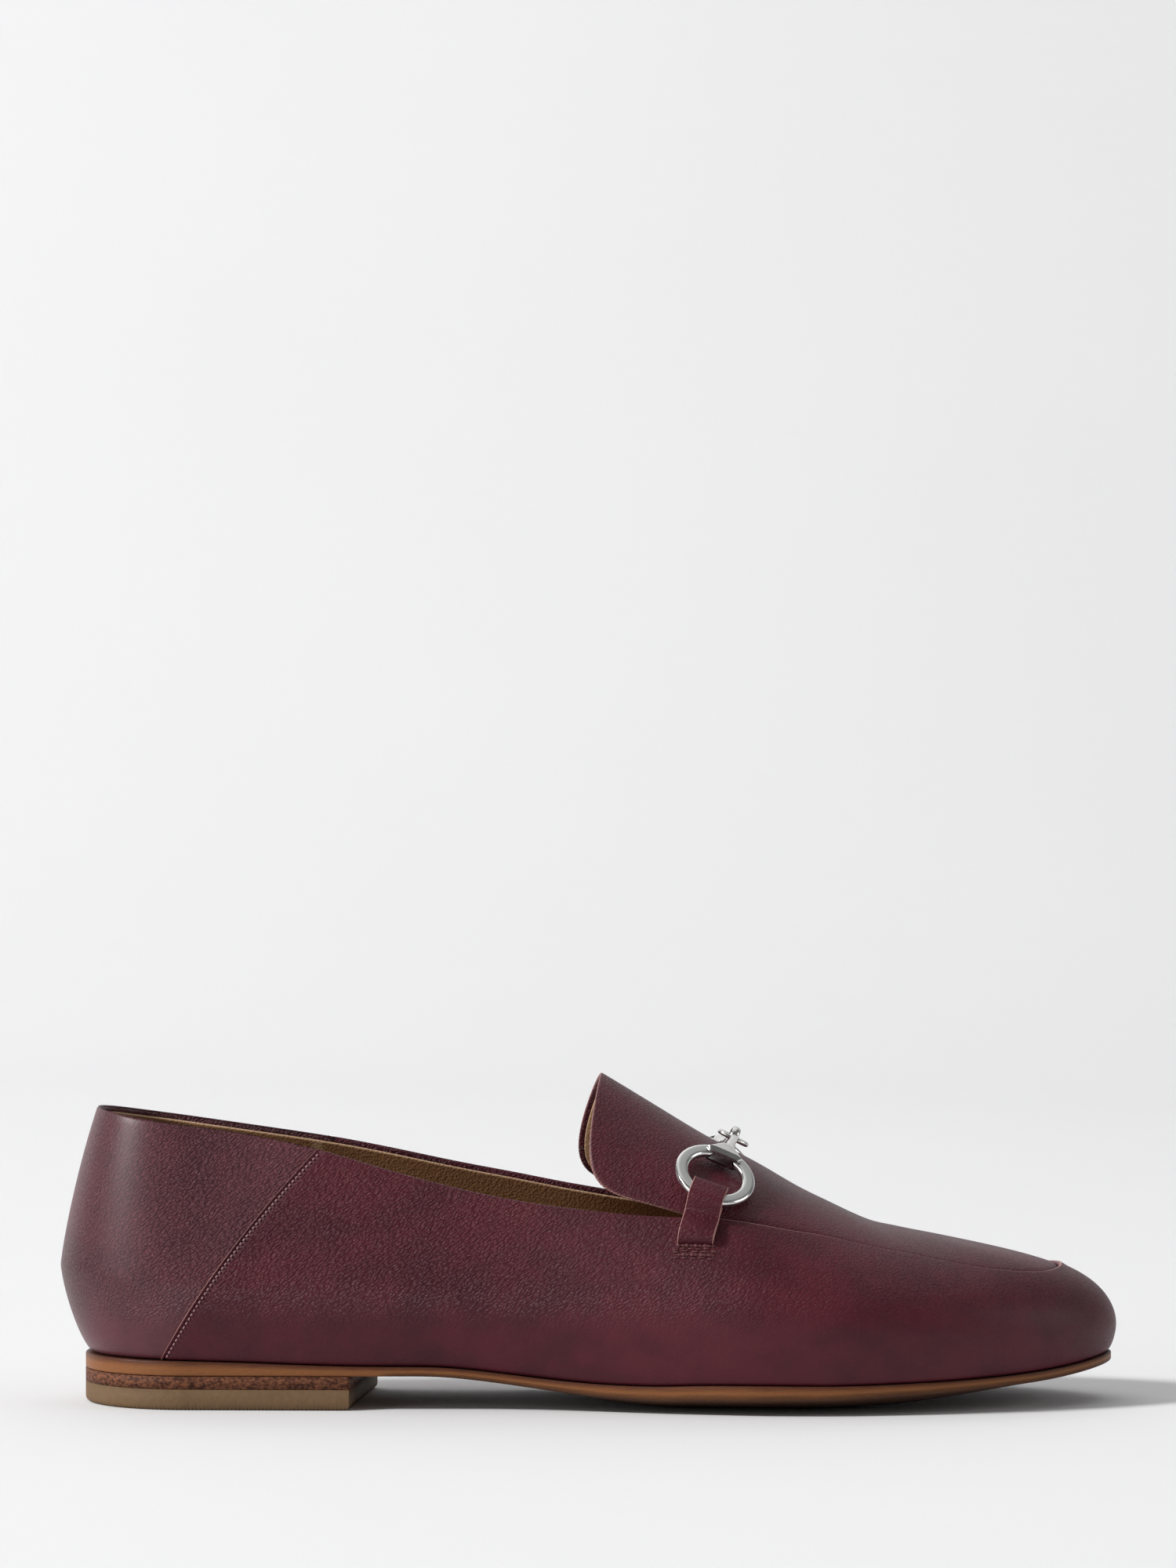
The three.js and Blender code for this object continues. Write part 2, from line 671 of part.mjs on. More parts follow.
function upperGeometry() {
  const skin = new Skin();
  for (const side of SIDES) {
    const flip = side === INNER;
    const outside = wallSheet(side, 0);
    const inside = wallSheet(side, UPPER_WALL);
    const edge = outside[0].length - 1;
    const apronOut = apronSheet(side, PLUG_STEP);
    const apronIn = apronSheet(side, UPPER_WALL);
    const tongueOut = tongueSheet(side, PLUG_STEP);
    const tongueIn = tongueSheet(side, UPPER_WALL);
    const [edgeOut, edgeIn] = [column(outside, edge), column(inside, edge)];
    skin.sheet(outside, flip);
    skin.sheet(inside, !flip);
    skin.sheet(strip(column(outside, 0), column(inside, 0)), !flip);
    skin.sheet(strip(edgeOut, edgeIn).slice(0, JUNCTION_ROW + 1), flip);
    skin.sheet(strip(edgeOut.slice(JUNCTION_ROW), column(apronOut, 0)), flip);
    skin.sheet(apronOut, flip);
    skin.sheet(apronIn, !flip);
    skin.sheet(tongueOut, !flip);
    skin.sheet(tongueIn, flip);
    skin.sheet(strip(tongueOut[TONGUE_ROWS], tongueIn[TONGUE_ROWS]), flip);
    const crotch = [edgeOut[JUNCTION_ROW], apronOut[0][0], edgeIn[JUNCTION_ROW]];
    if (flip) crotch.reverse();
    skin.triangle(...crotch);
  }
  return skin.geometry();
}

const degrees = Math.PI / 180;

// Outward normal of the last.
function lastNormal(girth, side, lift) {
  const step = 0.01;
  const along = lastPoint(girth + 1, side, lift, 0).sub(lastPoint(girth - 1, side, lift, 0));
  const up = lastPoint(girth, side, lift + step, 0).sub(lastPoint(girth, side, lift - step, 0));
  return along.cross(up).multiplyScalar(-side).normalize();
}

function slopeDirection(slope, normal) {
  const level = new THREE.Vector3(Math.cos(slope * degrees), 0, -Math.sin(slope * degrees));
  return level.addScaledVector(normal, -level.dot(normal)).normalize();
}

// The strap's middle line up the wall, from the slit to the point under the ring's centre, with
// the wall's outward normal and the direction of the strap's width.
function strapLine(side, ringLift, ringAlong) {
  const slitGirth = girthAt(SLIT_STATION);
  const underRing = lastPoint(girthAt(RING_STATION), side, ringLift, 0);
  const dropTo = (lift) => lastPoint(slitGirth, side, lift, 0).distanceTo(underRing);
  const slitLift = solve((lift) => STRAP_DROP - dropTo(lift), 0, ringLift);
  return (share) => {
    const girth = girthAt(mix(SLIT_STATION, RING_STATION, share));
    const lift = mix(slitLift, ringLift, share);
    const normal = lastNormal(girth, side, lift);
    const width = slopeDirection(SLIT_SLOPE, normal).lerp(ringAlong, smooth(share / STRAP_TWIST));
    width.addScaledVector(normal, -width.dot(normal) * STRAP_DRAPE * (1 - share)).normalize();
    return { point: lastPoint(girth, side, lift, 0), normal, width };
  };
}

// Share of the strap's line, and height above the wall, of a place in the ring's own plane.
function overWall(line, frame, y, z) {
  const shareStep = 0.01;
  const target = new THREE.Vector3(0, y, z).applyMatrix4(frame);
  const share = solve((s) => {
    const [a, b] = [line(s - shareStep).point, line(s + shareStep).point];
    return -target.clone().sub(line(s).point).dot(b.sub(a));
  }, 0, 1.1);
  const { point, normal } = line(share);
  return [share, target.sub(point).dot(normal)];
}

// The strap's room round the ring's lower part, in the ring's own plane.
const BAND_INSIDE = RING_RADIUS - RING_BAND;
const STRAP_LOW = -(RING_RADIUS + STRAP_CLEARANCE);
const STRAP_HIGH = STRAP_CLEARANCE - Math.sqrt(BAND_INSIDE ** 2 - (STRAP_WIDTH / 2) ** 2);
const STRAP_TALL = RING_THICKNESS / 2 + STRAP_CLEARANCE;
const STRAP_ROUND = 0.5;

// The ring's frame on one side of the vamp: z out of the wall, y towards the ridge. The ring is
// seated at a height over the wall where the strap passes under it. The block of its bar holds
// its upper part a little further off the wall, and it faces a little further forward.
function ringFrame(side) {
  const girth = girthAt(RING_STATION);
  const reach = pick(side, RING_REACH_OUTER, RING_REACH_INNER);
  const ray = rayAt(girth, side);
  const lift = Math.acos((reach / ray.bulge) ** (ray.shoulder / 2)) / (Math.PI / 2);
  const wallNormal = lastNormal(girth, side, lift);
  const along = slopeDirection(RING_SLOPE, wallNormal);
  const normal = wallNormal.clone().applyAxisAngle(along, -side * RING_TILT * degrees);
  const up = normal.clone().cross(along).multiplyScalar(-side);
  normal.applyAxisAngle(up, -side * RING_TURN * degrees);
  const line = strapLine(side, lift, slopeDirection(STRAP_SLOPE, normal));
  const frame = new THREE.Matrix4().makeBasis(up.clone().cross(normal), up, normal);
  const centre = lastPoint(girth, side, lift, 0);
  frame.setPosition(centre);
  const heights = [STRAP_LOW + STRAP_ROUND, STRAP_HIGH - STRAP_ROUND].map(
    (y) => overWall(line, frame, y, -STRAP_TALL)[1],
  );
  frame.setPosition(centre.addScaledVector(wallNormal, RING_SEAT - Math.min(...heights)));
  return { line, frame };
}

// A ring or a channel round the z axis, from a section of radius and height.
function roundGeometry(section, segments) {
  const profile = [...section, section[0]].map(([radius, height]) => new THREE.Vector2(radius, height));
  return closed(new THREE.LatheGeometry(profile, segments).rotateX(Math.PI / 2));
}

const RING_MIDDLE = RING_RADIUS - RING_BAND / 2;
const RING_SEGMENTS = 36;
function ringGeometry() {
  const [inside, outside, half] = [RING_RADIUS - RING_BAND, RING_RADIUS, RING_THICKNESS / 2];
  return roundGeometry([
    [inside, -half + RING_BEVEL],
    [inside + RING_BEVEL, -half],
    [outside - RING_BEVEL, -half],
    [outside, -half + RING_BEVEL],
    [outside, half - RING_BEVEL],
    [outside - RING_BEVEL, half],
    [inside + RING_BEVEL, half],
    [inside, half - RING_BEVEL],
  ], RING_SEGMENTS);
}

// manifold-3d joins and cuts the half bars.
function solid(geometry) {
  const { position } = geometry.attributes;
  return new wasm.Manifold(
    new wasm.Mesh({
      numProp: 3,
      vertProperties: new Float32Array(position.array),
      triVerts: new Uint32Array(geometry.index.array),
    }),
  );
}

function solidGeometry(made) {
  const mesh = made.getMesh();
  const geometry = new THREE.BufferGeometry();
  geometry.setAttribute("position", new THREE.BufferAttribute(mesh.vertProperties, 3));
  geometry.setIndex(new THREE.BufferAttribute(mesh.triVerts, 1));
  return closed(geometry);
}

// An oval wire loop about z, its long way along x; half sizes of its path and of its wire.
function loopGeometry(halfX, halfY, wireIn, wireOut) {
  const skin = new Skin();
  const wireSteps = 6;
  const rows = steps(20, 0, 2 * Math.PI).map((turn) => {
    const path = new THREE.Vector3(halfX * Math.cos(turn), halfY * Math.sin(turn), 0);
    const out = new THREE.Vector3(halfY * Math.cos(turn), halfX * Math.sin(turn), 0).normalize();
    return steps(wireSteps, 0, 2 * Math.PI).map((roll) => {
      const point = path.clone().addScaledVector(out, wireIn * Math.cos(roll));
      return point.setZ(wireOut * Math.sin(roll));
    });
  });
  skin.sheet(rows, false);
  return skin.geometry();
}

// The trumpet and neck of a half bar along y, flat where it leaves the block and round at the
// neck.
function neckGeometry(length) {
  const base = BLOCK_WIDTH / 2 - BLOCK_BEVEL;
  const trumpet = steps(7).map((share) => [
    NECK_RADIUS + (TRUMPET_RADIUS - NECK_RADIUS) * (1 - share) ** 2.2,
    base + share * TRUMPET_LENGTH,
  ]);
  const profile = [[0, base], ...trumpet, [NECK_RADIUS, length], [0, length]];
  const geometry = new THREE.LatheGeometry(profile.map((p) => new THREE.Vector2(...p)), 16);
  const { position } = geometry.attributes;
  const flatness = BLOCK_THICKNESS / 2 / TRUMPET_RADIUS;
  for (let i = 0; i < position.count; i++) {
    const squeeze = mix(flatness * 0.8, 1, smooth((position.getY(i) - base) / TRUMPET_LENGTH));
    position.setZ(i, position.getZ(i) * squeeze);
  }
  return closed(geometry);
}

// The eyes interlock over the ridge: their common frame has x along the ridge, y from the outer
// to the inner side, z outwards.
const eyeRidge = lastPoint(girthAt(EYE_STATION), OUTER, 1, 0);
const ridgeStep = lastPoint(girthAt(EYE_STATION + 1), OUTER, 1, 0).sub(eyeRidge).normalize();
const eyeUp = ridgeStep.clone().cross(new THREE.Vector3(0, 1, 0)).normalize();
const eyeAcross = eyeUp.clone().cross(ridgeStep);
const eyeFrame = new THREE.Matrix4()
  .makeBasis(ridgeStep, eyeAcross, eyeUp)
  .setPosition(eyeRidge.clone().addScaledVector(eyeUp, EYE_LIFT));

// One half bar in its ring's frame: a block that the ring passes through, a trumpet and neck, and
// an eye. The outer bar's eye lies flat on the vamp and the inner bar's stands upright in it.
function barGeometry(side, frame) {
  const toLocal = frame.clone().invert();
  const eye =
    side === OUTER
      ? loopGeometry(EYE_BREADTH, EYE_REACH, EYE_WIRE, EYE_WIRE)
      : loopGeometry(UPRIGHT_HEIGHT, EYE_REACH, UPRIGHT_WIRE, UPRIGHT_BREADTH).rotateY(Math.PI / 2);
  const rise = side === OUTER ? 0 : UPRIGHT_RISE;
  eye.translate(0, (side * EYE_REACH) / 2, rise).applyMatrix4(eyeFrame).applyMatrix4(toLocal);
  const root = new THREE.Vector3(0, RING_MIDDLE, 0);
  const end = new THREE.Vector3(0, side * (1.5 * EYE_REACH), rise);
  end.applyMatrix4(eyeFrame).applyMatrix4(toLocal);
  const reach = end.clone().sub(root);
  const direction = reach.clone().normalize();
  const bend = Math.asin(direction.z);
  const neck = neckGeometry(reach.length());
  const sideways = direction.clone().cross(new THREE.Vector3(0, 0, 1)).normalize();
  const turn = new THREE.Matrix4().makeBasis(sideways, direction, sideways.clone().cross(direction));
  neck.applyMatrix4(turn.setPosition(root));
  const half = { x: BLOCK_LENGTH / 2 - BLOCK_BEVEL, y: BLOCK_WIDTH / 2 - BLOCK_BEVEL };
  const face = new THREE.Shape([
    new THREE.Vector2(-half.x, -half.y),
    new THREE.Vector2(half.x, -half.y),
    new THREE.Vector2(half.x, half.y),
    new THREE.Vector2(-half.x, half.y),
  ]);
  const depth = BLOCK_THICKNESS - 2 * BLOCK_BEVEL;
  const block = new THREE.ExtrudeGeometry(face, {
    depth,
    bevelThickness: BLOCK_BEVEL,
    bevelSize: BLOCK_BEVEL,
    bevelSegments: 1,
    steps: 1,
  });
  block.translate(0, 0, -depth / 2).rotateX(bend * BLOCK_BEND).translate(0, RING_MIDDLE, 0);
  const [low, high] = [RING_RADIUS - RING_BAND - FIT_GAP, RING_RADIUS + FIT_GAP];
  const tall = RING_THICKNESS / 2 + FIT_GAP;
  const channel = roundGeometry([[low, -tall], [high, -tall], [high, tall], [low, tall]], 2 * RING_SEGMENTS);
  const made = solid(closed(block)).add(solid(neck)).add(solid(eye)).subtract(solid(channel));
  return solidGeometry(made);
}

const PLANE_SCALE = 25;
const toPlane = (points) => points.map(([share, height]) => new THREE.Vector2(share * PLANE_SCALE, height));

// Strap: a doubled band that comes out of its slit, runs up behind the ring, folds over the
// ring's lower part from inside and runs back down into the slit. Its section is drawn by share
// of the middle line and height above the wall, and swept over the strap's width.
function strapGeometry(side, { line, frame }) {
  const place = (y, z) => overWall(line, frame, y, z);
  const halfWidth = STRAP_WIDTH / 2;
  const [low, high, tall, round] = [STRAP_LOW, STRAP_HIGH, STRAP_TALL, STRAP_ROUND];
  const hole = [
    [low, 0],
    [low + round, tall],
    [high - round, tall],
    [high, 0],
    [high - round, -tall],
    [low + round, -tall],
  ].map(([y, z]) => place(y, z));
  const foldTop = high + STRAP_LEATHER;
  const top = tall + STRAP_LEATHER;
  const [foldShare] = place(foldTop - STRAP_LEATHER, 0);
  const [bandShare] = place(low - 2 * STRAP_LEATHER, 0);
  const behind = steps(6, 0, foldShare).map((share) => [share, FIT_GAP + STRAP_LIFT * share ** 2]);
  const fold = [
    [foldTop, 0],
    [foldTop - 0.5, 0.7 * top],
    [foldTop - 1.2, top],
    [low + 0.2, top],
  ].map(([y, z]) => place(y, z));
  const doubled = FIT_GAP + 2 * STRAP_LEATHER + 0.1;
  const front = steps(4, bandShare, 0.06).map((share) => [share, doubled]);
  const contour = [...behind, ...fold, ...front, [0, FIT_GAP + STRAP_LEATHER]];
  const skin = new Skin();
  const sweep = ([share, height]) => {
    const { point, normal, width } = line(share);
    point.addScaledVector(normal, height);
    return [-halfWidth, halfWidth].map((offset) => point.clone().addScaledVector(width, offset));
  };
  const flip = side === INNER;
  const loops = [contour, hole].map((loop) => loop.map(sweep));
  for (const loop of loops) skin.sheet([...loop, loop[0]], flip);
  const pairs = loops.flat();
  for (const [a, b, c] of flatFaces(toPlane(contour), [toPlane(hole)])) {
    const [back, near] = [0, 1].map((k) => [pairs[a][k], pairs[b][k], pairs[c][k]]);
    skin.triangle(...(flip ? back : back.toReversed()));
    skin.triangle(...(flip ? near.toReversed() : near));
  }
  return skin.geometry();
}

const material = (colour, roughness, metalness = 0) =>
  new THREE.MeshStandardMaterial({ color: colour, roughness, metalness });

function piece(name, geometry, look) {
  const mesh = new THREE.Mesh(geometry, look);
  mesh.name = name;
  return mesh;
}

const leather = material(COLOURS.burgundy, 0.42);
const loafer = new THREE.Group();
const stackTop = TOP_PIECE_HEIGHT + GLUE_LINE + HEEL_STACK_HEIGHT;
loafer.add(
  piece("outsole", outsoleGeometry(), material(COLOURS.sole, 0.5)),
  piece(
    "heel_stack",
    slabGeometry([
      [TOP_PIECE_HEIGHT + GLUE_LINE, 0],
      [stackTop, 0],
    ]),
    material(COLOURS.stack, 0.55),
  ),
  piece(
    "heel_top_piece",
    slabGeometry([
      [0, HEEL_EDGE_ROUND],
      [0.3 * HEEL_EDGE_ROUND, 0.3 * HEEL_EDGE_ROUND],
      [HEEL_EDGE_ROUND, 0],
      [TOP_PIECE_HEIGHT, 0],
    ]),
    material(COLOURS.topPiece, 0.7),
  ),
  piece("upper", upperGeometry(), leather),
  piece("insole", insoleGeometry(), material(COLOURS.tan, 0.6)),
);

for (const side of SIDES) {
  const name = pick(side, "outer", "inner");
  const seat = ringFrame(side);
  const bit = new THREE.Group();
  seat.frame.decompose(bit.position, bit.quaternion, bit.scale);
  bit.add(
    piece(`bit_ring_${name}`, ringGeometry(), material(COLOURS.satin, 0.35, 1)),
    piece(`bit_bar_${name}`, barGeometry(side, seat.frame), material(COLOURS.chrome, 0.12, 1)),
  );
  loafer.add(bit, piece(`bit_strap_${name}`, strapGeometry(side, seat), leather));
}

// The shoe's box stands centred on the origin.
const box = new THREE.Box3().setFromObject(loafer);
loafer.position.set(-(box.min.x + box.max.x) / 2, -(box.min.y + box.max.y) / 2, -box.min.z);

export default loafer;
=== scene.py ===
import math

import bmesh
import bpy
import numpy as np
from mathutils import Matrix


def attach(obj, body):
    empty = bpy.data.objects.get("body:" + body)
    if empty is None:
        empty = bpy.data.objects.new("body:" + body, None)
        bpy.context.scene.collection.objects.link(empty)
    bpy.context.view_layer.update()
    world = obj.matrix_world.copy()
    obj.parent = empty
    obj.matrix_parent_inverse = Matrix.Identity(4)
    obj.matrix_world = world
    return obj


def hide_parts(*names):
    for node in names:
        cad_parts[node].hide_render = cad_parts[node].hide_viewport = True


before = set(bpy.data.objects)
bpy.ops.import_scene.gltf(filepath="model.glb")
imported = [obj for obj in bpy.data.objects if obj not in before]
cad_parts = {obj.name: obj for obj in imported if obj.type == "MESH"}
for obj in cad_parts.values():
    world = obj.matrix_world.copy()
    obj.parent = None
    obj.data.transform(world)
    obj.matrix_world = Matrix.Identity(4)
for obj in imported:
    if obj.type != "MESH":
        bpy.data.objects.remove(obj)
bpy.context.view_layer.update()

# The view: the shoe stands on pale paper that curves up into a wall, seen square on to its outer
# side, under one strong light from high on the left and three soft ones. Lengths of the shoe are
# millimetres from the sole's back, the heel's middle line and the floor.
MM = 0.001
SOLE_BACK = np.array([-126.016, 0.293, 0.0])
VIEW_ALONG = 125.7
VIEW_DISTANCE = 1400
VIEW_HEIGHT = 154
LENS = 128.3
CLIP_END = 50
LIGHTS = [
    {"name": "key_light", "at": (-4.1, -1.6, 3.2), "aim": (0.0, 0.0, 0.0), "size": 1.0, "power": 290},
    {"name": "ceiling_light", "at": (0.0, 0.6, 2.4), "aim": (0.0, 0.0, 0.0), "size": 2.6, "power": 15},
    {"name": "left_light", "at": (-2.5, -1.9, 0.9), "aim": (-0.1, 0.0, 0.05), "size": 1.4, "power": 13},
    {"name": "right_light", "at": (2.6, -0.5, 0.9), "aim": (0.1, 0.0, 0.05), "size": 1.4, "power": 13},
]
SURROUND = (0.93, 0.93, 0.93, 1)
SURROUND_STRENGTH = 0.16


def place(points):
    """Frame metres of points in shoe millimetres: their sum with the sole's back, scaled."""
    return (np.asarray(points, float) + SOLE_BACK) * MM


camera = bpy.data.objects.new("view", bpy.data.cameras.new("view"))
camera.data.lens = LENS
camera.data.clip_end = CLIP_END
camera.location = place([VIEW_ALONG, -VIEW_DISTANCE, VIEW_HEIGHT])
camera.rotation_euler = (math.pi / 2, 0, 0)
bpy.context.scene.collection.objects.link(camera)
bpy.context.scene.camera = camera
bpy.context.scene.view_settings.view_transform = "Standard"


def soft_light(name, at, aim, size, power):
    """A square light panel of that many metres, turned from its place towards the aim."""
    lamp = bpy.data.objects.new(name, bpy.data.lights.new(name, "AREA"))
    lamp.data.size = size
    lamp.data.energy = power
    lamp.location = at
    way = np.array(aim, float) - np.array(at, float)
    flat = math.hypot(way[0], way[1])
    lamp.rotation_euler = (math.atan2(flat, -way[2]), 0, math.atan2(way[1], way[0]) - math.pi / 2)
    bpy.context.scene.collection.objects.link(lamp)


for light in LIGHTS:
    soft_light(**light)

world = bpy.data.worlds.new("studio")
world.use_nodes = True
world.node_tree.nodes["Background"].inputs["Color"].default_value = SURROUND
world.node_tree.nodes["Background"].inputs["Strength"].default_value = SURROUND_STRENGTH
bpy.context.scene.world = world


class Socket:
    """A node's output. An expression on it adds one Math node for each of its signs."""

    def __init__(self, tree, output):
        self.tree = tree
        self.output = output

    def math(self, operation, first, second=0.0):
        """One Math node on two entries, each a socket or a number."""
        node = self.tree.nodes.new("ShaderNodeMath")
        node.operation = operation
        for entry, value in zip(node.inputs, (first, second)):
            if isinstance(value, Socket):
                self.tree.links.new(value.output, entry)
            else:
                entry.default_value = value
        return Socket(self.tree, node.outputs[0])

    def __add__(self, other):
        return self.math("ADD", self, other)

    def __radd__(self, other):
        return self.math("ADD", other, self)

    def __sub__(self, other):
        return self.math("SUBTRACT", self, other)

    def __rsub__(self, other):
        return self.math("SUBTRACT", other, self)

    def __mul__(self, other):
        return self.math("MULTIPLY", self, other)

    def __rmul__(self, other):
        return self.math("MULTIPLY", other, self)

    def ease(self, start, end):
        """0 before start, 1 past end, and a smooth rise between them."""
        share = self.math("DIVIDE", self - start, end - start)
        share = share.math("MINIMUM", share.math("MAXIMUM", share, 0.0), 1.0)
        return share * share * (3.0 - 2.0 * share)


class Finish:
    """A material in the making, and the shader that its looks go into."""

    def __init__(self, name):
        self.material = bpy.data.materials.new(name)
        self.material.use_nodes = True
        self.tree = self.material.node_tree
        self.shader = self.tree.nodes["Principled BSDF"]

    def node(self, kind, settings=None, result=0, **sockets):
        """One node: its settings first, then the values or links of its sockets, which are named
        in words with _ for a space, or numbered as i0, i1 and so on."""
        node = self.tree.nodes.new("ShaderNode" + kind)
        for key, value in (settings or {}).items():
            if key == "stops":
                while len(node.color_ramp.elements) < len(value):
                    node.color_ramp.elements.new(1.0)
                for stop, (at, colour) in zip(node.color_ramp.elements, value):
                    stop.position = at
                    stop.color = (*colour, 1)
            else:
                setattr(node, key, value)
        for key, value in sockets.items():
            numbered = key[1:].isdigit()
            self.give(node.inputs[int(key[1:]) if numbered else key.replace("_", " ")], value)
        return Socket(self.tree, node.outputs[result])

    def give(self, entry, value):
        """Links an entry to a socket, or sets it to a number, a vector or a colour."""
        if isinstance(value, Socket):
            self.tree.links.new(value.output, entry)
        elif isinstance(value, tuple) and len(value) == 3 and entry.type == "RGBA":
            entry.default_value = (*value, 1)
        else:
            entry.default_value = value

    def blend(self, share, first, second):
        """A colour that passes from the first to the second with the share."""
        return self.node("Mix", {"data_type": "RGBA"}, result=2, i0=share, i6=first, i7=second)

    def place(self):
        """The object coordinates, in metres of the frame."""
        return self.node("TexCoord", result=3)

    def stretched(self, scale, turn=(0, 0, 0)):
        """Object coordinates turned and then scaled by axis, for a pattern."""
        turned = self.node("Mapping", {"vector_type": "TEXTURE"}, Vector=self.place(), Rotation=turn)
        return self.node("Mapping", Vector=turned, Scale=scale)

    def noise(self, scale, detail=2.0, **more):
        """Cloudy noise with that many clouds in a metre along each axis."""
        return self.node("TexNoise", Vector=self.stretched(scale), Scale=1.0, Detail=detail, **more)

    def mark(self, name):
        """A number that the mesh keeps at each point, such as a distance to an edge."""
        return self.node("Attribute", {"attribute_name": name}, result=2)

    def bump(self, height, distance):
        """A normal that leans as if the surface rose by height times a distance in metres."""
        return self.node("Bump", Height=height, Distance=distance, Strength=1.0)

    def wear(self, **looks):
        """Sets the shader's sockets by name, with values or with links."""
        for key, value in looks.items():
            self.give(self.shader.inputs[key.replace("_", " ")], value)
        return self.material


paper = Finish("pale_paper")
paper_shade = paper.node("TexNoise", Vector=paper.place(), Scale=3.0, Detail=2.0)
paper_far = paper.node("VectorMath", {"operation": "LENGTH"}, result=1, i0=paper.place()).ease(0.5, 1.8)
paper.wear(
    Base_Color=paper.blend(paper_shade, (0.79, 0.79, 0.80), (0.81, 0.81, 0.81)),
    Roughness=0.9,
    Specular_IOR_Level=0.1,
    Emission_Color=paper.blend(paper_far, (0.0, 0.0, 0.0), (0.94, 0.93, 0.95)),
    Emission_Strength=0.03,
)
COVE_BACK = 2.6
COVE_FRONT = -4.0
COVE_ROUND = 1.2
COVE_TOP = 5.0
COVE_HALF_WIDTH = 6.0
cove_turn = np.linspace(0, math.pi / 2, 24)
cove_y = COVE_BACK - COVE_ROUND * (1 - np.sin(cove_turn))
cove_z = COVE_ROUND * (1 - np.cos(cove_turn))
cove_y = np.concatenate([[COVE_FRONT, 0.0], cove_y, [COVE_BACK]])
cove_z = np.concatenate([[0.0, 0.0], cove_z, [COVE_TOP]])
cove_ends = (-COVE_HALF_WIDTH, COVE_HALF_WIDTH)
cove_points = [(x, y, z) for x in cove_ends for y, z in zip(cove_y, cove_z)]
cove_faces = [(k, k + len(cove_y), k + 1 + len(cove_y), k + 1) for k in range(len(cove_y) - 1)]
cove = bpy.data.meshes.new("floor")
cove.from_pydata(cove_points, [], cove_faces)
cove.shade_smooth()
cove.materials.append(paper.material)
floor = bpy.data.objects.new("floor", cove)
bpy.context.scene.collection.objects.link(floor)

# The outsole is one piece of sole leather: square edged, thin at the waist, crowned under the
# ball and sprung at the toe. It is drawn on rays that fan round the heel, stand square to the
# length along the waist, and fan round the toe.
SOLE_LENGTH = 257
BALL_WIDTH = 84
HEEL_WIDTH = 53
HEEL_ROUND = 27
TOE_ROUND = 52
TOE_FULLNESS = 1.8
TOE_SPRING = 9.7
BALL_CROWN = 3.9
SOLE_THICKNESS = 3.9
SEAT_HEIGHT = 8.4
SOLE_CORNER = 0.5
WAIST_START = 0.325 * SOLE_LENGTH
FLAT_START = 0.575 * SOLE_LENGTH
FLAT_END = 0.708 * SOLE_LENGTH
SPRING_POWER = 1.8
CROWN_START = 0.4
EDGE_BAND_END = 0.56
HEEL_BAND_END = 80
HEEL_BAND_FADE = 8
CORNER_SHARE = 0.1
OUTER = -1
INNER = 1
SIDES = {OUTER: "outer", INNER: "inner"}


def spline(places, values):
    """Natural cubic spline: cubic pieces whose slopes and bends agree where they meet."""
    places = np.array(places, float)
    values = np.array(values, float)
    step = np.diff(places)
    inner = np.arange(1, len(places) - 1)
    system = np.eye(len(places))
    system[inner, inner - 1] = step[:-1]
    system[inner, inner] = 2 * (step[:-1] + step[1:])
    system[inner, inner + 1] = step[1:]
    load = np.zeros(len(places))
    load[inner] = 6 * np.diff(np.diff(values) / step)
    bend = np.linalg.solve(system, load)

    def curve(place_along):
        """The curve's value at places, held at its end values past both ends."""
        x = np.clip(place_along, places[0], places[-1])
        i = np.clip(np.searchsorted(places, x, side="right") - 1, 0, len(places) - 2)
        far = (x - places[i]) / step[i]
        near = 1 - far
        arch = (near**3 - near) * bend[i] + (far**3 - far) * bend[i + 1]
        return near * values[i] + far * values[i + 1] + arch * step[i] ** 2 / 6

    return curve


def table(names, rows):
    """A smooth function for each column, of the distance along the sole in the first column."""
    columns = np.array(rows, float).T
    places = columns[0] * SOLE_LENGTH
    return {name: spline(places, column) for name, column in zip(names[1:], columns[1:])}


plan = table(
    ["at", "outer", "inner", "ball", "drift"],
    [
        [0.0, 0.5, 0.5, 0.0, 0.0],
        [0.12, 0.5, 0.5, 0.0, 0.0],
        [0.2, 0.512, 0.505, 0.0, 0.0],
        [0.26, 0.504, 0.485, 0.05, 0.0],
        [0.35, 0.468, 0.419, 0.2, 0.002],
        [0.43, 0.442, 0.357, 0.45, 0.007],
        [0.505, 0.458, 0.339, 0.7, 0.014],
        [0.58, 0.492, 0.371, 0.9, 0.024],
        [0.64, 0.519, 0.415, 1.0, 0.031],
        [0.68, 0.532, 0.44, 1.0, 0.036],
        [0.72, 0.532, 0.453, 1.0, 0.038],
        [0.78, 0.506, 0.446, 1.0, 0.041],
        [0.84, 0.469, 0.424, 1.0, 0.042],
        [0.9, 0.446, 0.417, 1.0, 0.042],
        [1.0, 0.44, 0.417, 1.0, 0.042],
    ],
)
sole_section = table(
    ["at", "crown", "thickness"],
    [
        [0.0, 0.0, 1.0],
        [0.08, 0.0, 0.95],
        [0.16, 0.0, 0.82],
        [0.24, 0.0, 0.65],
        [0.33, 0.0, 0.59],
        [0.4, 0.1, 0.62],
        [0.47, 0.4, 0.73],
        [0.52, 0.68, 0.85],
        [0.58, 0.9, 0.96],
        [0.68, 1.0, 0.95],
        [0.78, 1.03, 0.78],
        [0.87, 0.68, 0.66],
        [0.94, 0.26, 0.62],
        [1.0, 0.0, 0.6],
    ],
)
HEEL_TURN = HEEL_ROUND
TOE_TURN = SOLE_LENGTH - TOE_ROUND
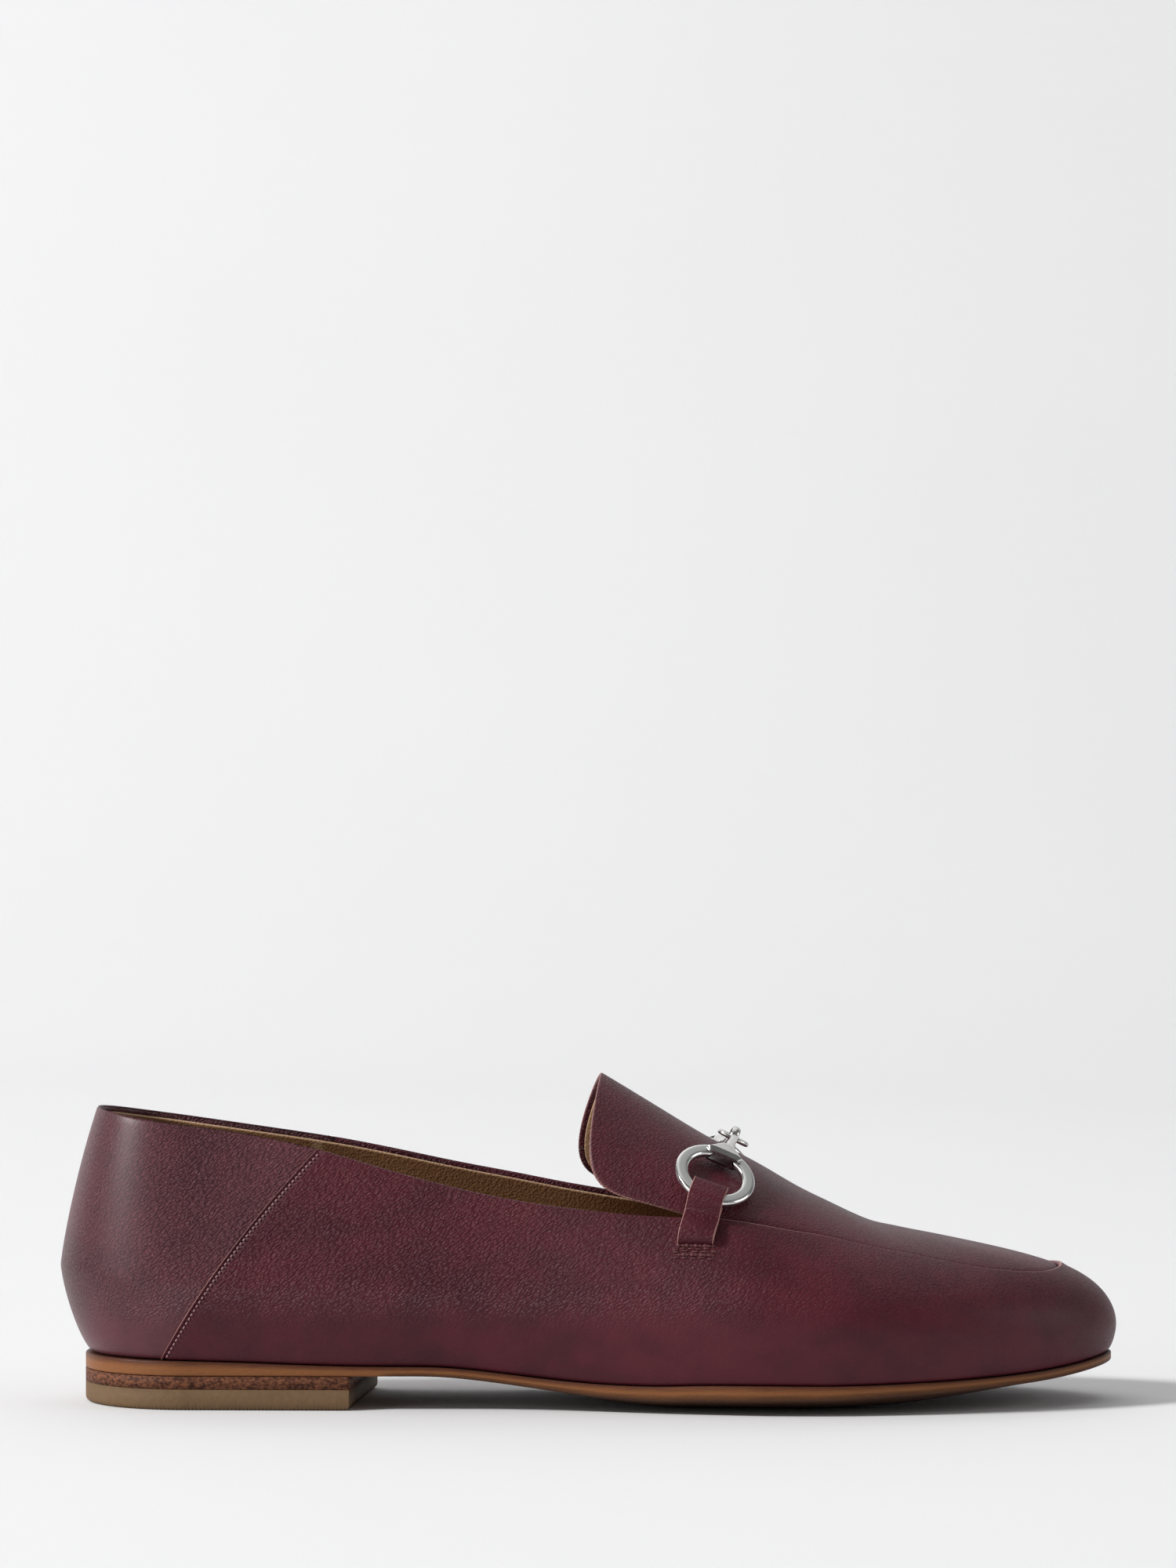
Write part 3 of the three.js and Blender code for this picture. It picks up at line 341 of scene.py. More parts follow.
HEEL_GIRTH = math.pi / 2 * HEEL_ROUND
TOE_SPACING = 0.8
TOE_GIRTH = math.pi / 2 * TOE_ROUND * TOE_SPACING
TOE_START = HEEL_GIRTH + TOE_TURN - HEEL_TURN
GIRTH = TOE_START + TOE_GIRTH
RAY_GIRTHS = np.linspace(0, GIRTH, 3001)
HALVINGS = 34


def smooth(value):
    """0 below 0, 1 above 1, and the cubic 3t^2 - 2t^3 between them."""
    share = np.clip(value, 0, 1)
    return share * share * (3 - 2 * share)


def round_end(share, power):
    """Height of a superellipse quarter at a share of its length."""
    return np.maximum(0, 1 - np.clip(share, 0, 1) ** power) ** (1 / power)


def sole_half_width(x, side):
    """Half width by side, rounded at the heel and the toe, and -1 past both ends."""
    full = plan[SIDES[side]](x) * (HEEL_WIDTH + (BALL_WIDTH - HEEL_WIDTH) * plan["ball"](x))
    full = full * round_end((HEEL_TURN - x) / HEEL_ROUND, 2)
    full = full * round_end((x - TOE_TURN) / TOE_ROUND, TOE_FULLNESS)
    return np.where((x < 0) | (x > SOLE_LENGTH), -1, full)


def halve(rising, low, high):
    """The place where each rising function passes zero, found by halving its span."""
    for _ in range(HALVINGS):
        middle = (low + high) / 2
        above = rising(middle) > 0
        low, high = np.where(above, low, middle), np.where(above, middle, high)
    return (low + high) / 2


def reach_to(ray, half_width):
    """How far each ray runs before it crosses an outline given by its half width."""
    miss = lambda reach: reach * np.abs(ray["across"]) - half_width(ray["x"] + reach * ray["along"])
    return halve(miss, np.zeros_like(ray["x"]), np.full_like(ray["x"], SOLE_LENGTH / 2))


def fan(side):
    """The rays of one side by girth: their feet, their directions and their length to the edge."""
    x = np.clip(HEEL_TURN + RAY_GIRTHS - HEEL_GIRTH, HEEL_TURN, TOE_TURN)
    angle = np.full_like(x, math.pi / 2)
    heel = RAY_GIRTHS < HEEL_GIRTH
    toe = RAY_GIRTHS > TOE_START
    angle[heel] = math.pi * (1 - RAY_GIRTHS[heel] / HEEL_GIRTH / 2)
    angle[toe] = math.pi / 2 * (1 - (RAY_GIRTHS[toe] - TOE_START) / TOE_GIRTH)
    across = side * np.sin(angle)
    across[[0, -1]] = 0
    ray = {"x": x, "y": plan["drift"](x) * BALL_WIDTH, "along": np.cos(angle), "across": across}
    ray["edge"] = reach_to(ray, lambda at: sole_half_width(at, side))
    return ray


rays = {side: fan(side) for side in SIDES}


def ray_at(side, name, girth):
    """A ray's number of that name at any girth, read between its neighbours."""
    return np.interp(girth, RAY_GIRTHS, rays[side][name])


def girth_at(x):
    """Girth of the square ray at a place along the sole's straight part."""
    return HEEL_GIRTH + x - HEEL_TURN


def on_ray(side, girth, reach, height):
    """Points at a reach along the rays, at a height."""
    x = ray_at(side, "x", girth) + reach * ray_at(side, "along", girth)
    y = ray_at(side, "y", girth) + reach * ray_at(side, "across", girth)
    return np.stack(np.broadcast_arrays(x, y, height), -1)


def sole_bottom(x, share):
    """Level on the heel and the ball, eased between them, sprung at the toe, edges crowned."""
    waist = SEAT_HEIGHT * smooth((FLAT_START - x) / (FLAT_START - WAIST_START))
    spring = TOE_SPRING * (np.maximum(0, x - FLAT_END) / (SOLE_LENGTH - FLAT_END)) ** SPRING_POWER
    out = np.maximum(0, share - CROWN_START) / (1 - CROWN_START)
    crown = np.maximum(0, sole_section["crown"](x)) * out**2
    return waist + spring + BALL_CROWN * crown


def sole_top(x, share):
    """The bottom's height and the sole's thickness there."""
    return sole_bottom(x, share) + SOLE_THICKNESS * sole_section["thickness"](x)


def on_sole(side, girth, reach, surface, rise=0.0):
    """Points on a surface of the sole at a reach along the rays."""
    x = ray_at(side, "x", girth) + reach * ray_at(side, "along", girth)
    return on_ray(side, girth, reach, surface(x, reach / ray_at(side, "edge", girth)) + rise)


def quarter_round(radius):
    """Steps round a corner: the angle turned, and how far back and down the surface lies there."""
    angles = np.linspace(0, math.pi / 2, 5)
    return [(angle, radius * (1 - math.sin(angle)), radius * (1 - math.cos(angle))) for angle in angles]


def around(outer, inner):
    """Columns of the outer side from back to front, then of the inner side back again."""
    return np.concatenate([outer, inner[:, ::-1][:, 1:]], 1)


def skin(points, turned=False, wrap=False, merge=False, marks=None):
    """A mesh on one or more grids of points, a face for each four neighbours. Its columns can wrap
    round, its faces can be turned over, points that meet can be merged, and marks are numbers
    that it keeps at each point."""
    count = points.shape[:-1]
    index = np.arange(np.prod(count)).reshape(count)
    if wrap:
        index = np.concatenate([index, index[..., :1]], -1)
    corners = [index[..., :-1, :-1], index[..., 1:, :-1], index[..., 1:, 1:], index[..., :-1, 1:]]
    faces = np.stack(corners, -1).reshape(-1, 4)
    mesh = bpy.data.meshes.new("skin")
    if turned:
        faces = faces[:, ::-1]
    mesh.from_pydata(place(points).reshape(-1, 3).tolist(), [], faces.tolist())
    for key, values in (marks or {}).items():
        kept = mesh.attributes.new(key, "FLOAT", "POINT")
        kept.data.foreach_set("value", np.broadcast_to(values, count).astype(np.float32).ravel())
    if merge:
        shape = bmesh.new()
        shape.from_mesh(mesh)
        bmesh.ops.remove_doubles(shape, verts=shape.verts, dist=1e-6)
        bmesh.ops.dissolve_degenerate(shape, edges=shape.edges, dist=1e-7)
        bmesh.ops.recalc_face_normals(shape, faces=shape.faces)
        shape.to_mesh(mesh)
        shape.free()
    mesh.shade_smooth()
    return mesh


def piece(name, mesh, finish, body="shoe", stands_for=(), wall=0.0):
    """An object for a mesh in a finish, riding on a body, with its wall thickened inwards if
    asked, and the nodes of the CAD that it stands for."""
    mesh.name = name
    mesh.materials.append(finish.material)
    made = bpy.data.objects.new(name, mesh)
    bpy.context.scene.collection.objects.link(made)
    if wall:
        thicken = made.modifiers.new("wall", "SOLIDIFY")
        thicken.thickness = wall * MM
        thicken.offset = -1
    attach(made, body)
    if stands_for:
        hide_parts(*stands_for)
    return made


sole_leather = Finish("sole_leather")
sole_streaks = sole_leather.noise((150, 150, 1500), 4.0)
# The edge's colour follows its share of the way down: tan in the middle, darker at the top and bottom.
# The dark top and bottom are partly the burnished corners of the edge and partly painted shade under
# the upper and towards the floor, and the underside is painted dark as shade.
sole_edge_burnish_and_shade = sole_leather.node(
    "ValToRGB",
    {
        "stops": [
            (0.0, (0.045, 0.014, 0.009)),
            (0.14, (0.09, 0.030, 0.015)),
            (0.36, (0.23, 0.088, 0.030)),
            (0.56, (0.25, 0.098, 0.034)),
            (0.8, (0.10, 0.040, 0.015)),
            (1.0, (0.045, 0.018, 0.009)),
        ]
    },
    Fac=sole_leather.mark("down") + (sole_streaks - 0.5) * 0.22,
)
sole_fibre = sole_leather.noise((900, 900, 2600), 3.0)
sole_leather.wear(
    Specular_IOR_Level=0.15,
    Base_Color=sole_leather.blend(sole_fibre * 0.35, sole_edge_burnish_and_shade, (0.12, 0.05, 0.03)),
    Roughness=0.34 + sole_fibre * 0.2,
    Normal=sole_leather.bump(sole_fibre, 0.00012),
)


def outsole_half(side):
    """Rows of the outsole's section, from its upper middle round the edge to its lower middle, and
    each row's share of the way down the edge. Both corners of the edge are quarter rounds."""
    girth = np.linspace(0, GIRTH, 260)
    edge = ray_at(side, "edge", girth)
    corner = quarter_round(SOLE_CORNER)
    rows = [on_sole(side, girth, share * edge, sole_top) for share in (0, 0.3, 0.6, 0.8, 0.9)]
    down = [0.0] * len(rows)
    for angle, back, fall in corner:
        rows.append(on_sole(side, girth, edge - back, sole_top, -fall))
        down.append(CORNER_SHARE * angle)
    upper = on_sole(side, girth, edge, sole_top, -SOLE_CORNER)
    lower = on_sole(side, girth, edge, sole_bottom, SOLE_CORNER)
    for share in (0.3, 0.5, 0.7):
        rows.append(upper + (lower - upper) * share)
        down.append(share)
    for angle, back, fall in corner[::-1]:
        rows.append(on_sole(side, girth, edge - back, sole_bottom, fall))
        down.append(1.0 - CORNER_SHARE * angle)
    for share in (0.95, 0.88, 0.8, 0.7, 0.6, 0.5, 0.4, 0.2, 0):
        rows.append(on_sole(side, girth, share * edge, sole_bottom))
        down.append(1.0)
    return np.array(rows), np.array(down)[:, None]


(outsole_outer, outsole_down), (outsole_inner, _) = outsole_half(OUTER), outsole_half(INNER)
outsole_points = around(outsole_outer, outsole_inner)
# Along the heel, where the edge stands on the heel stack, its lower part keeps the tan middle of the
# colour ramp instead of the painted shade towards the floor.
over_heel = smooth((HEEL_BAND_END - outsole_points[..., 0]) / HEEL_BAND_FADE)
outsole_down = outsole_down - np.maximum(0, outsole_down - EDGE_BAND_END) * over_heel
outsole_mesh = skin(outsole_points, merge=True, marks={"down": outsole_down})
piece("sole_edge", outsole_mesh, sole_leather, stands_for=["outsole"])

# The heel: a stack of leatherboard under the seat, and under it a rubber top piece with a fine
# tread. Both are cut flush with the edge of the sole and square across the breast.
TOP_PIECE_HEIGHT = 5.1
STACK_HEIGHT = 3.1
GLUE_LINE = 0.1
BREAST = {OUTER: 67, INNER: 72}
TREAD_PITCH = 0.95
TREAD_DEPTH = 0.28
TREAD_LEAN = 0.35
TREAD_HEIGHT = 1.0
STACK_POINTS = 320
TOP_PIECE_POINTS = 1536
CAP_INSET = 8
CAP_SHRINK = 0.02


def run_of(line):
    """Length along a line up to each of its points."""
    return np.concatenate([[0], np.cumsum(np.linalg.norm(np.diff(line, axis=0), axis=1))])


def spots_on(line, at):
    """Points at lengths along a line."""
    length = run_of(line)
    return np.stack([np.interp(at, length, line[:, k]) for k in range(3)], -1)


def heel_outline(inset, count):
    """The heel's edge inside the sole's, closed by the breast, as evenly spaced points."""
    lines = {}
    for side in SIDES:
        girth = np.linspace(0, girth_at(BREAST[side] - inset), 400)
        lines[side] = on_ray(side, girth, ray_at(side, "edge", girth) - inset, 0.0)
    loop = np.concatenate([lines[OUTER][::-1], lines[INNER][1:], lines[OUTER][-1:]])
    return spots_on(loop, np.linspace(0, run_of(loop)[-1], count, endpoint=False))


def heel_slab(levels, count):
    """A slab of outlines at levels of height and inset, closed by flat caps: an outline further
    in at the same height, and that one shrunk almost to a point."""
    rows = []
    for height, inset in [(levels[0][0], CAP_INSET), *levels, (levels[-1][0], CAP_INSET)]:
        row = heel_outline(inset, count)
        row[:, 2] = height
        rows.append(row)
    low, high = (row.mean(0) + (row - row.mean(0)) * CAP_SHRINK for row in (rows[0], rows[-1]))
    return skin(np.array([low, *rows, high]), wrap=True, merge=True)


leatherboard = Finish("leatherboard")
board_flecks = leatherboard.noise((900, 900, 1300), 5.0, Roughness=0.7)
board_layers = leatherboard.noise((60, 60, 1500))
board_light = board_flecks.ease(0.36, 0.66)
leatherboard.wear(
    Specular_IOR_Level=0.15,
    Base_Color=leatherboard.blend(board_light, (0.040, 0.013, 0.008), (0.21, 0.080, 0.040)),
    Roughness=0.5 + board_layers * 0.2,
    Normal=leatherboard.bump(board_flecks + board_layers * 0.6, 0.00015),
)
stack_low = TOP_PIECE_HEIGHT + GLUE_LINE
stack_mesh = heel_slab([(stack_low, 0.0), (stack_low + STACK_HEIGHT, 0.0)], STACK_POINTS)
piece("stack_edge", stack_mesh, leatherboard, stands_for=["heel_stack"])

rubber = Finish("rubber")
rubber_grain = rubber.noise((700, 700, 700), 4.0)
rubber_cloud = rubber.noise((70, 70, 300))
rubber_share = rubber_grain * 0.5 + rubber_cloud * 0.5
rubber.wear(
    Specular_IOR_Level=0.2,
    Base_Color=rubber.blend(rubber_share, (0.105, 0.061, 0.030), (0.20, 0.122, 0.064)),
    Roughness=0.62 + rubber_cloud * 0.15,
    Normal=rubber.bump(rubber_grain, 0.00015),
)
top_levels = [(0.0, 1.1), (0.12, 0.7), (0.45, 0.3), (0.9, 0.06), (1.5, 0.0), (TOP_PIECE_HEIGHT, 0.0)]
top_mesh = heel_slab(top_levels, TOP_PIECE_POINTS)
tread_points = np.empty(len(top_mesh.vertices) * 3)
top_mesh.vertices.foreach_get("co", tread_points)
tread_points = tread_points.reshape(-1, 3)
tread_low = tread_points[:, 2] < TREAD_HEIGHT * MM
tread_place = (tread_points[:, 0] + tread_points[:, 1] * TREAD_LEAN) / MM
tread_cut = np.maximum(0, np.cos(tread_place * 2 * math.pi / TREAD_PITCH)) * TREAD_DEPTH * MM
tread_points[:, 2] += np.where(tread_low, tread_cut * (1 - tread_points[:, 2] / MM), 0)
top_mesh.vertices.foreach_set("co", tread_points.ravel())
piece("top_piece_edge", top_mesh, rubber, stands_for=["heel_top_piece"])

# The insole and lining: a leather sock over the insole board, lying on the lasting margin, and
# thin tan leather inside the walls, cut off a millimetre under the collar's rolled edge. Both
# follow the last that the upper is drawn over, which the tables give along the sole.
FIT_GAP = 0.3
WALL = 2.0
FEATHER_SETBACK = 1
INSTEP_HEIGHT = 65.3
BACK_HEIGHT = 74.4
JUNCTION = 0.5953 * SOLE_LENGTH
APRON_FRONT = SOLE_LENGTH - 13
APRON_FULLNESS = 2.4
SOCK_ROLL = 0.8
SOCK_THICKNESS = 2.0
SOCK_LOW = 2 * FIT_GAP + WALL
SOCK_RISE = SOCK_LOW + SOCK_THICKNESS
COLLAR_EASE = 0.12 * SOLE_LENGTH
LIFT_STEP = 0.01

last = table(
    ["at", "swell_outer", "swell_inner", "bulge", "shoulder", "crest", "skirt"],
    [
        [0.0, 0.08, 0.08, 0.521, 1.9, 1.2, 1.35],
        [0.11, 0.031, 0.031, 0.475, 1.35, 1.2, 1.45],
        [0.26, 0.033, 0.04, 0.459, 1.3, 1.2, 1.5],
        [0.35, 0.039, 0.062, 0.444, 1.35, 1.25, 1.5],
        [0.43, 0.04, 0.069, 0.433, 1.6, 1.4, 1.5],
        [0.52, 0.036, 0.052, 0.417, 1.95, 1.5, 1.55],
        [0.6, 0.032, 0.036, 0.386, 2.35, 1.6, 1.6],
        [0.68, 0.029, 0.027, 0.343, 2.4, 1.75, 1.6],
        [0.78, 0.026, 0.025, 0.315, 2.35, 1.9, 1.6],
        [0.9, 0.02, 0.02, 0.294, 3.4, 2.0, 1.6],
        [1.0, 0.0155, 0.0155, 0.285, 6.6, 2.0, 1.6],
    ],
)
ridge = table(
    ["at", "instep", "cone"],
    [
        [0.0, 1.0, 0.601],
        [0.156, 1.0, 0.601],
        [0.28, 1.0, 0.594],
        [0.381, 1.0, 0.473],
        [0.444, 1.0, 0.347],
        [0.5, 1.0, 0.232],
        [0.565, 1.0, 0.095],
        [0.611, 1.0, 0.0],
        [0.657, 0.904, 0.0],
        [0.688, 0.832, 0.0],
        [0.718, 0.769, 0.0],
        [0.749, 0.716, 0.0],
        [0.778, 0.68, 0.0],
        [0.825, 0.635, 0.0],
        [0.887, 0.585, 0.0],
        [0.946, 0.538, 0.0],
        [1.005, 0.489, 0.0],
    ],
)
collar = table(
    ["at", "outer", "inner"],
    [
        [0.0, 1.0, 1.0],
        [0.047, 0.969, 0.969],
        [0.109, 0.938, 0.938],
        [0.171, 0.906, 0.907],
        [0.233, 0.859, 0.873],
        [0.304, 0.789, 0.825],
        [0.362, 0.738, 0.782],
        [0.42, 0.698, 0.743],
        [0.479, 0.672, 0.703],
        [0.537, 0.656, 0.675],
        [0.595, 0.651, 0.653],
    ],
)
apron = table(
    ["at", "outer", "inner"],
    [
        [0.595, 0.424, 0.338],
        [0.64, 0.43, 0.345],
        [0.68, 0.416, 0.335],
        [0.72, 0.378, 0.316],
        [0.76, 0.352, 0.3],
        [0.8, 0.332, 0.292],
        [0.86, 0.32, 0.292],
        [0.95, 0.325, 0.297],
    ],
)


def apron_half_width(x, side):
    """Half width of the apron, closing in a round front, and -1 past it."""
    full = apron[SIDES[side]](x) * BALL_WIDTH
    full = full * round_end((x - TOE_TURN) / (APRON_FRONT - TOE_TURN), APRON_FULLNESS)
    return np.where(x > APRON_FRONT, -1, full)


for side in SIDES:
    ray = rays[side]
    edge_x = ray["x"] + ray["edge"] * ray["along"]
    swell = last["swell_" + SIDES[side]](edge_x)
    ray["foot"] = ray["edge"] - FEATHER_SETBACK
    ray["bulge"] = ray["edge"] + swell * BALL_WIDTH
    ray["bulge_height"] = last["bulge"](edge_x) * INSTEP_HEIGHT
    for name in ("shoulder", "crest", "skirt"):
        ray[name] = last[name](edge_x)
    ray["apron"] = reach_to(ray, lambda at: apron_half_width(at, side))
    across = np.minimum(1, (ray["apron"] / ray["bulge"]) ** (ray["shoulder"] / 2))
    ray["apron_lift"] = np.arccos(across) / (math.pi / 2)


CREASES = [
    {"at": 195.5, "lean": 20, "depth": 0.6, "width": 4.8, "fade": 0.34},
    {"at": 185.0, "lean": 12, "depth": -0.2, "width": 5.0, "fade": 0.30},
    {"at": 205.0, "lean": -8, "depth": 0.12, "width": 5.0, "fade": 0.30},
]
FOLDS = [
    {"middle": 60, "height": 33, "sag": 8, "half": 44, "rise": 0.45, "width": 5.5},
    {"middle": 88, "height": 47, "sag": 5, "half": 42, "rise": -0.35, "width": 6.5},
    {"middle": 205, "height": 27, "sag": -2, "half": 34, "rise": 0.3, "width": 4.5},
]


def creased(x, lift):
    """Depth of the soft troughs that wearing on the last leaves across the vamp: each follows a
    leaning line, is a bell curve across it, and fades away down the wall."""
    depth = 0.0
    for crease in CREASES:
        down = 1 - lift
        across = (x - crease["at"] - crease["lean"] * down) / crease["width"]
        depth = depth + crease["depth"] * np.exp(-(across**2)) * smooth(1 - down / crease["fade"])
    return depth


def folded(x, height):
    """How far the wall stands out along the soft folds of the quarter and the toe: each follows a
    shallow arch of the height, is a bell curve across it, and fades at its ends."""
    out = 0.0
    for fold in FOLDS:
        along = (x - fold["middle"]) / fold["half"]
        across = (height - fold["height"] + fold["sag"] * along**2) / fold["width"]
        out = out + fold["rise"] * np.exp(-(across**2)) * smooth(1.6 * (1 - np.abs(along)))
    return out


def last_point(girth, side, lift, inset=0.0):
    """A point of the last: below the widest place a superellipse down to the sole, above it one
    up to the ridge. Lift is -1 at the sole, 0 at the widest place and 1 on the ridge."""
    girth, lift, inset = np.broadcast_arrays(girth, lift, inset)
    at = lambda name: ray_at(side, name, girth)
    turn = math.pi / 2 * np.abs(lift)
    flat = np.where(np.abs(lift) >= 1, 0, np.cos(turn))
    inner_foot = at("foot") - inset
    under = sole_top(at("x") + inner_foot * at("along"), inner_foot / at("edge")) + FIT_GAP
    low = under + inset * smooth(inset / WALL)
    skirt_reach = inner_foot + (at("bulge") - at("foot")) * flat ** (2 / at("skirt"))
    bulge_height = at("bulge_height")
    skirt_height = bulge_height - (bulge_height - low) * np.sin(turn) ** (2 / at("skirt"))
    reach = (at("bulge") - inset) * flat ** (2 / at("shoulder"))
    x = at("x") + reach * at("along")
    top = ridge["instep"](x) * INSTEP_HEIGHT + ridge["cone"](x) * BACK_HEIGHT - inset
    height = bulge_height + (top - bulge_height) * np.sin(turn) ** (2 / at("crest"))
    height = height - creased(x, lift)
    below = lift < 0
    reach, height = np.where(below, skirt_reach, reach), np.where(below, skirt_height, height)
    return on_ray(side, girth, reach + folded(at("x") + reach * at("along"), height), height)


junction_girth = girth_at(JUNCTION)
for side in SIDES:
    collar_share = collar[SIDES[side]]
    seam_lift = ray_at(side, "apron_lift", junction_girth)
    seam_height = last_point(junction_girth, side, seam_lift)[2]
    miss = seam_height - collar_share(JUNCTION) * BACK_HEIGHT

    def over_collar(lift):
        """How far the wall at a lift stands above the collar, eased to meet the apron."""
        point = last_point(RAY_GIRTHS, side, lift)
        ease = smooth(1 - (JUNCTION - point[:, 0]) / COLLAR_EASE)
        return point[:, 2] - collar_share(point[:, 0]) * BACK_HEIGHT - miss * ease

    free = halve(over_collar, np.zeros_like(RAY_GIRTHS), np.full_like(RAY_GIRTHS, 0.95))
    rays[side]["top"] = np.where(RAY_GIRTHS < junction_girth, free, rays[side]["apron_lift"])
    top, below = (last_point(RAY_GIRTHS, side, rays[side]["top"] - step) for step in (0, LIFT_STEP))
    rays[side]["rate"] = np.linalg.norm(top - below, axis=1) / LIFT_STEP


def dropped(girth, side, drop):
    """Lift of the place that lies some millimetres under the wall's top edge."""
    return ray_at(side, "top", girth) - drop / ray_at(side, "rate", girth)


def wall_lifts(girth, side, count, drop):
    """Lifts from the sole to the top edge less a drop, closer together towards both ends."""
    top = dropped(girth, side, drop)
    low = np.linspace(-1, 0, count // 3, endpoint=False)[:, None] + 0 * top
    high = np.linspace(0, 1, count - count // 3)[:, None] * top
    return np.concatenate([low, high])


tan_leather = Finish("tan_leather")
tan_cloud = tan_leather.noise((60, 60, 60), 3.0)
tan_grain = tan_leather.stretched((1500, 1500, 1500))
tan_pores = tan_leather.node("TexVoronoi", Vector=tan_grain, Scale=1.0)
tan_body = tan_leather.blend(tan_cloud, (0.20, 0.090, 0.034), (0.30, 0.148, 0.062))
tan_leather.wear(
    Base_Color=tan_leather.blend(tan_leather.mark("cut"), tan_body, (0.55, 0.36, 0.22)),
    Roughness=0.55 + tan_pores * 0.15,
    Normal=tan_leather.bump(tan_pores + tan_cloud * 0.8, 0.00012),
)


def sock_half(side):
    """Rows of the sock and board, from the upper middle over the rolled rim to the lower middle."""
    girth = np.linspace(0, GIRTH, 160)
    rim = ray_at(side, "foot", girth) - WALL - FIT_GAP
    shares = (0, 0.25, 0.5, 0.75, 0.9)
    rows = [on_sole(side, girth, share * rim, sole_top, SOCK_RISE) for share in shares]
    for _, back, fall in quarter_round(SOCK_ROLL):
        rows.append(on_sole(side, girth, rim - back, sole_top, SOCK_RISE - fall))
    rows += [on_sole(side, girth, share * rim, sole_top, SOCK_LOW) for share in (1.0, 0.8, 0)]
    return np.array(rows)


sock_mesh = skin(around(sock_half(OUTER), sock_half(INNER)), merge=True, marks={"cut": 0.0})
piece("sock", sock_mesh, tan_leather, stands_for=["insole"])

LINING_DROP = 1.15
LINING_INSET = 2.15
LINING_SEAM = 57.0
LINING_SEAM_HALF = 0.75
LINING_EDGE = [(0.0, 1.55), (0.02, 1.9), (0.15, LINING_INSET)]


def lining_half(side):
    """The lining of one wall: a cut edge that turns over the fold, then down to the sock."""
    girth = np.linspace(0, GIRTH, 220)
    rows = []
    for drop, inset in LINING_EDGE:
        rows.append(last_point(girth, side, dropped(girth, side, LINING_DROP + drop), inset))
    lifts = wall_lifts(girth, side, 30, LINING_DROP + 0.5)[::-1]
    rows += [last_point(girth, side, lift, LINING_INSET) for lift in lifts]
    return np.array(rows)


lining_points = around(lining_half(OUTER), lining_half(INNER))[:, :-1]
lining_cut = np.zeros(lining_points.shape[:2])
lining_seam = np.abs(lining_points[8, :, 0] - LINING_SEAM)
lining_cut[:, lining_seam < LINING_SEAM_HALF] = 0.55
lining_cut[:3] = np.array([1.0, 1.0, 0.6])[:, None]
lining_mesh = skin(lining_points, wrap=True, turned=True, marks={"cut": lining_cut})
piece("lining", lining_mesh, tan_leather, stands_for=["upper"], wall=0.5)

# The counter: the back part of the upper, in grained burgundy leather, rolled over at the collar
# and lapped at its front edges by the side walls.
SEAM_STEP = 0.45
SEAM_FOOT = 18.4
SEAM_HEAD = 59.5
SEAM_BOW = 3.2
SEAM_TOP = 0.87 * BACK_HEIGHT
SEAM_LAP = 2.0
FOLD_ROUND = 0.85
APRON_FOLD = 0.42
HEM_DROPS = (1.3, 1.9, 2.6)
WALL_ROWS = 52
JUNCTION_EASE = 4


def seam_girths(side, lifts_at):
    """Girth of the counter's front edge for each row, where its bowed line crosses the row."""

    def miss(girth):
        """How far ahead of the bowed line each row's point at a girth lies."""
        point = last_point(girth, side, lifts_at(girth))
        rise = np.clip((point[:, 2] - SEAT_HEIGHT) / (SEAM_TOP - SEAT_HEIGHT), 0, 1)
        bow = SEAM_BOW * 4 * rise * (1 - rise)
        return point[:, 0] - SEAM_FOOT - (SEAM_HEAD - SEAM_FOOT) * rise + bow

    count = len(lifts_at(np.array(0.0)))
    return halve(miss, np.full(count, HEEL_GIRTH / 3), np.full(count, girth_at(SEAM_HEAD + 10.0)))


def wall_profile(side, girth):
    """Lift and inset of a wall's rows: the face, the roll over the top edge, the turned-in hem."""
    girth = np.atleast_1d(girth)
    behind = smooth((junction_girth - girth) / JUNCTION_EASE + 0.5)
    depth = APRON_FOLD + (FOLD_ROUND - APRON_FOLD) * behind
    lifts = list(wall_lifts(girth, side, WALL_ROWS, depth))
    insets = [0 * girth] * len(lifts)
    for angle in np.linspace(0, math.pi, 9)[1:]:
        lifts.append(dropped(girth, side, depth * (1 - math.sin(angle))))
        insets.append(depth * (1 - math.cos(angle)))
    for drop in HEM_DROPS:
        lifts.append(dropped(girth, side, depth + (drop - FOLD_ROUND) * behind + 0.2 * (drop > 2)))
        insets.append(2 * depth)
    return np.array(lifts), np.array(insets)


def lifts_of_rows(side):
    """A function that gives the lift of each row of the wall at a girth."""

    def lifts_at(girth):
        """The rows' lifts, at one girth for all of them or at one for each."""
        girth = np.atleast_1d(girth)
        if len(girth) == 1:
            return wall_profile(side, girth)[0][:, 0]
        return np.diagonal(wall_profile(side, girth)[0])

    return lifts_at


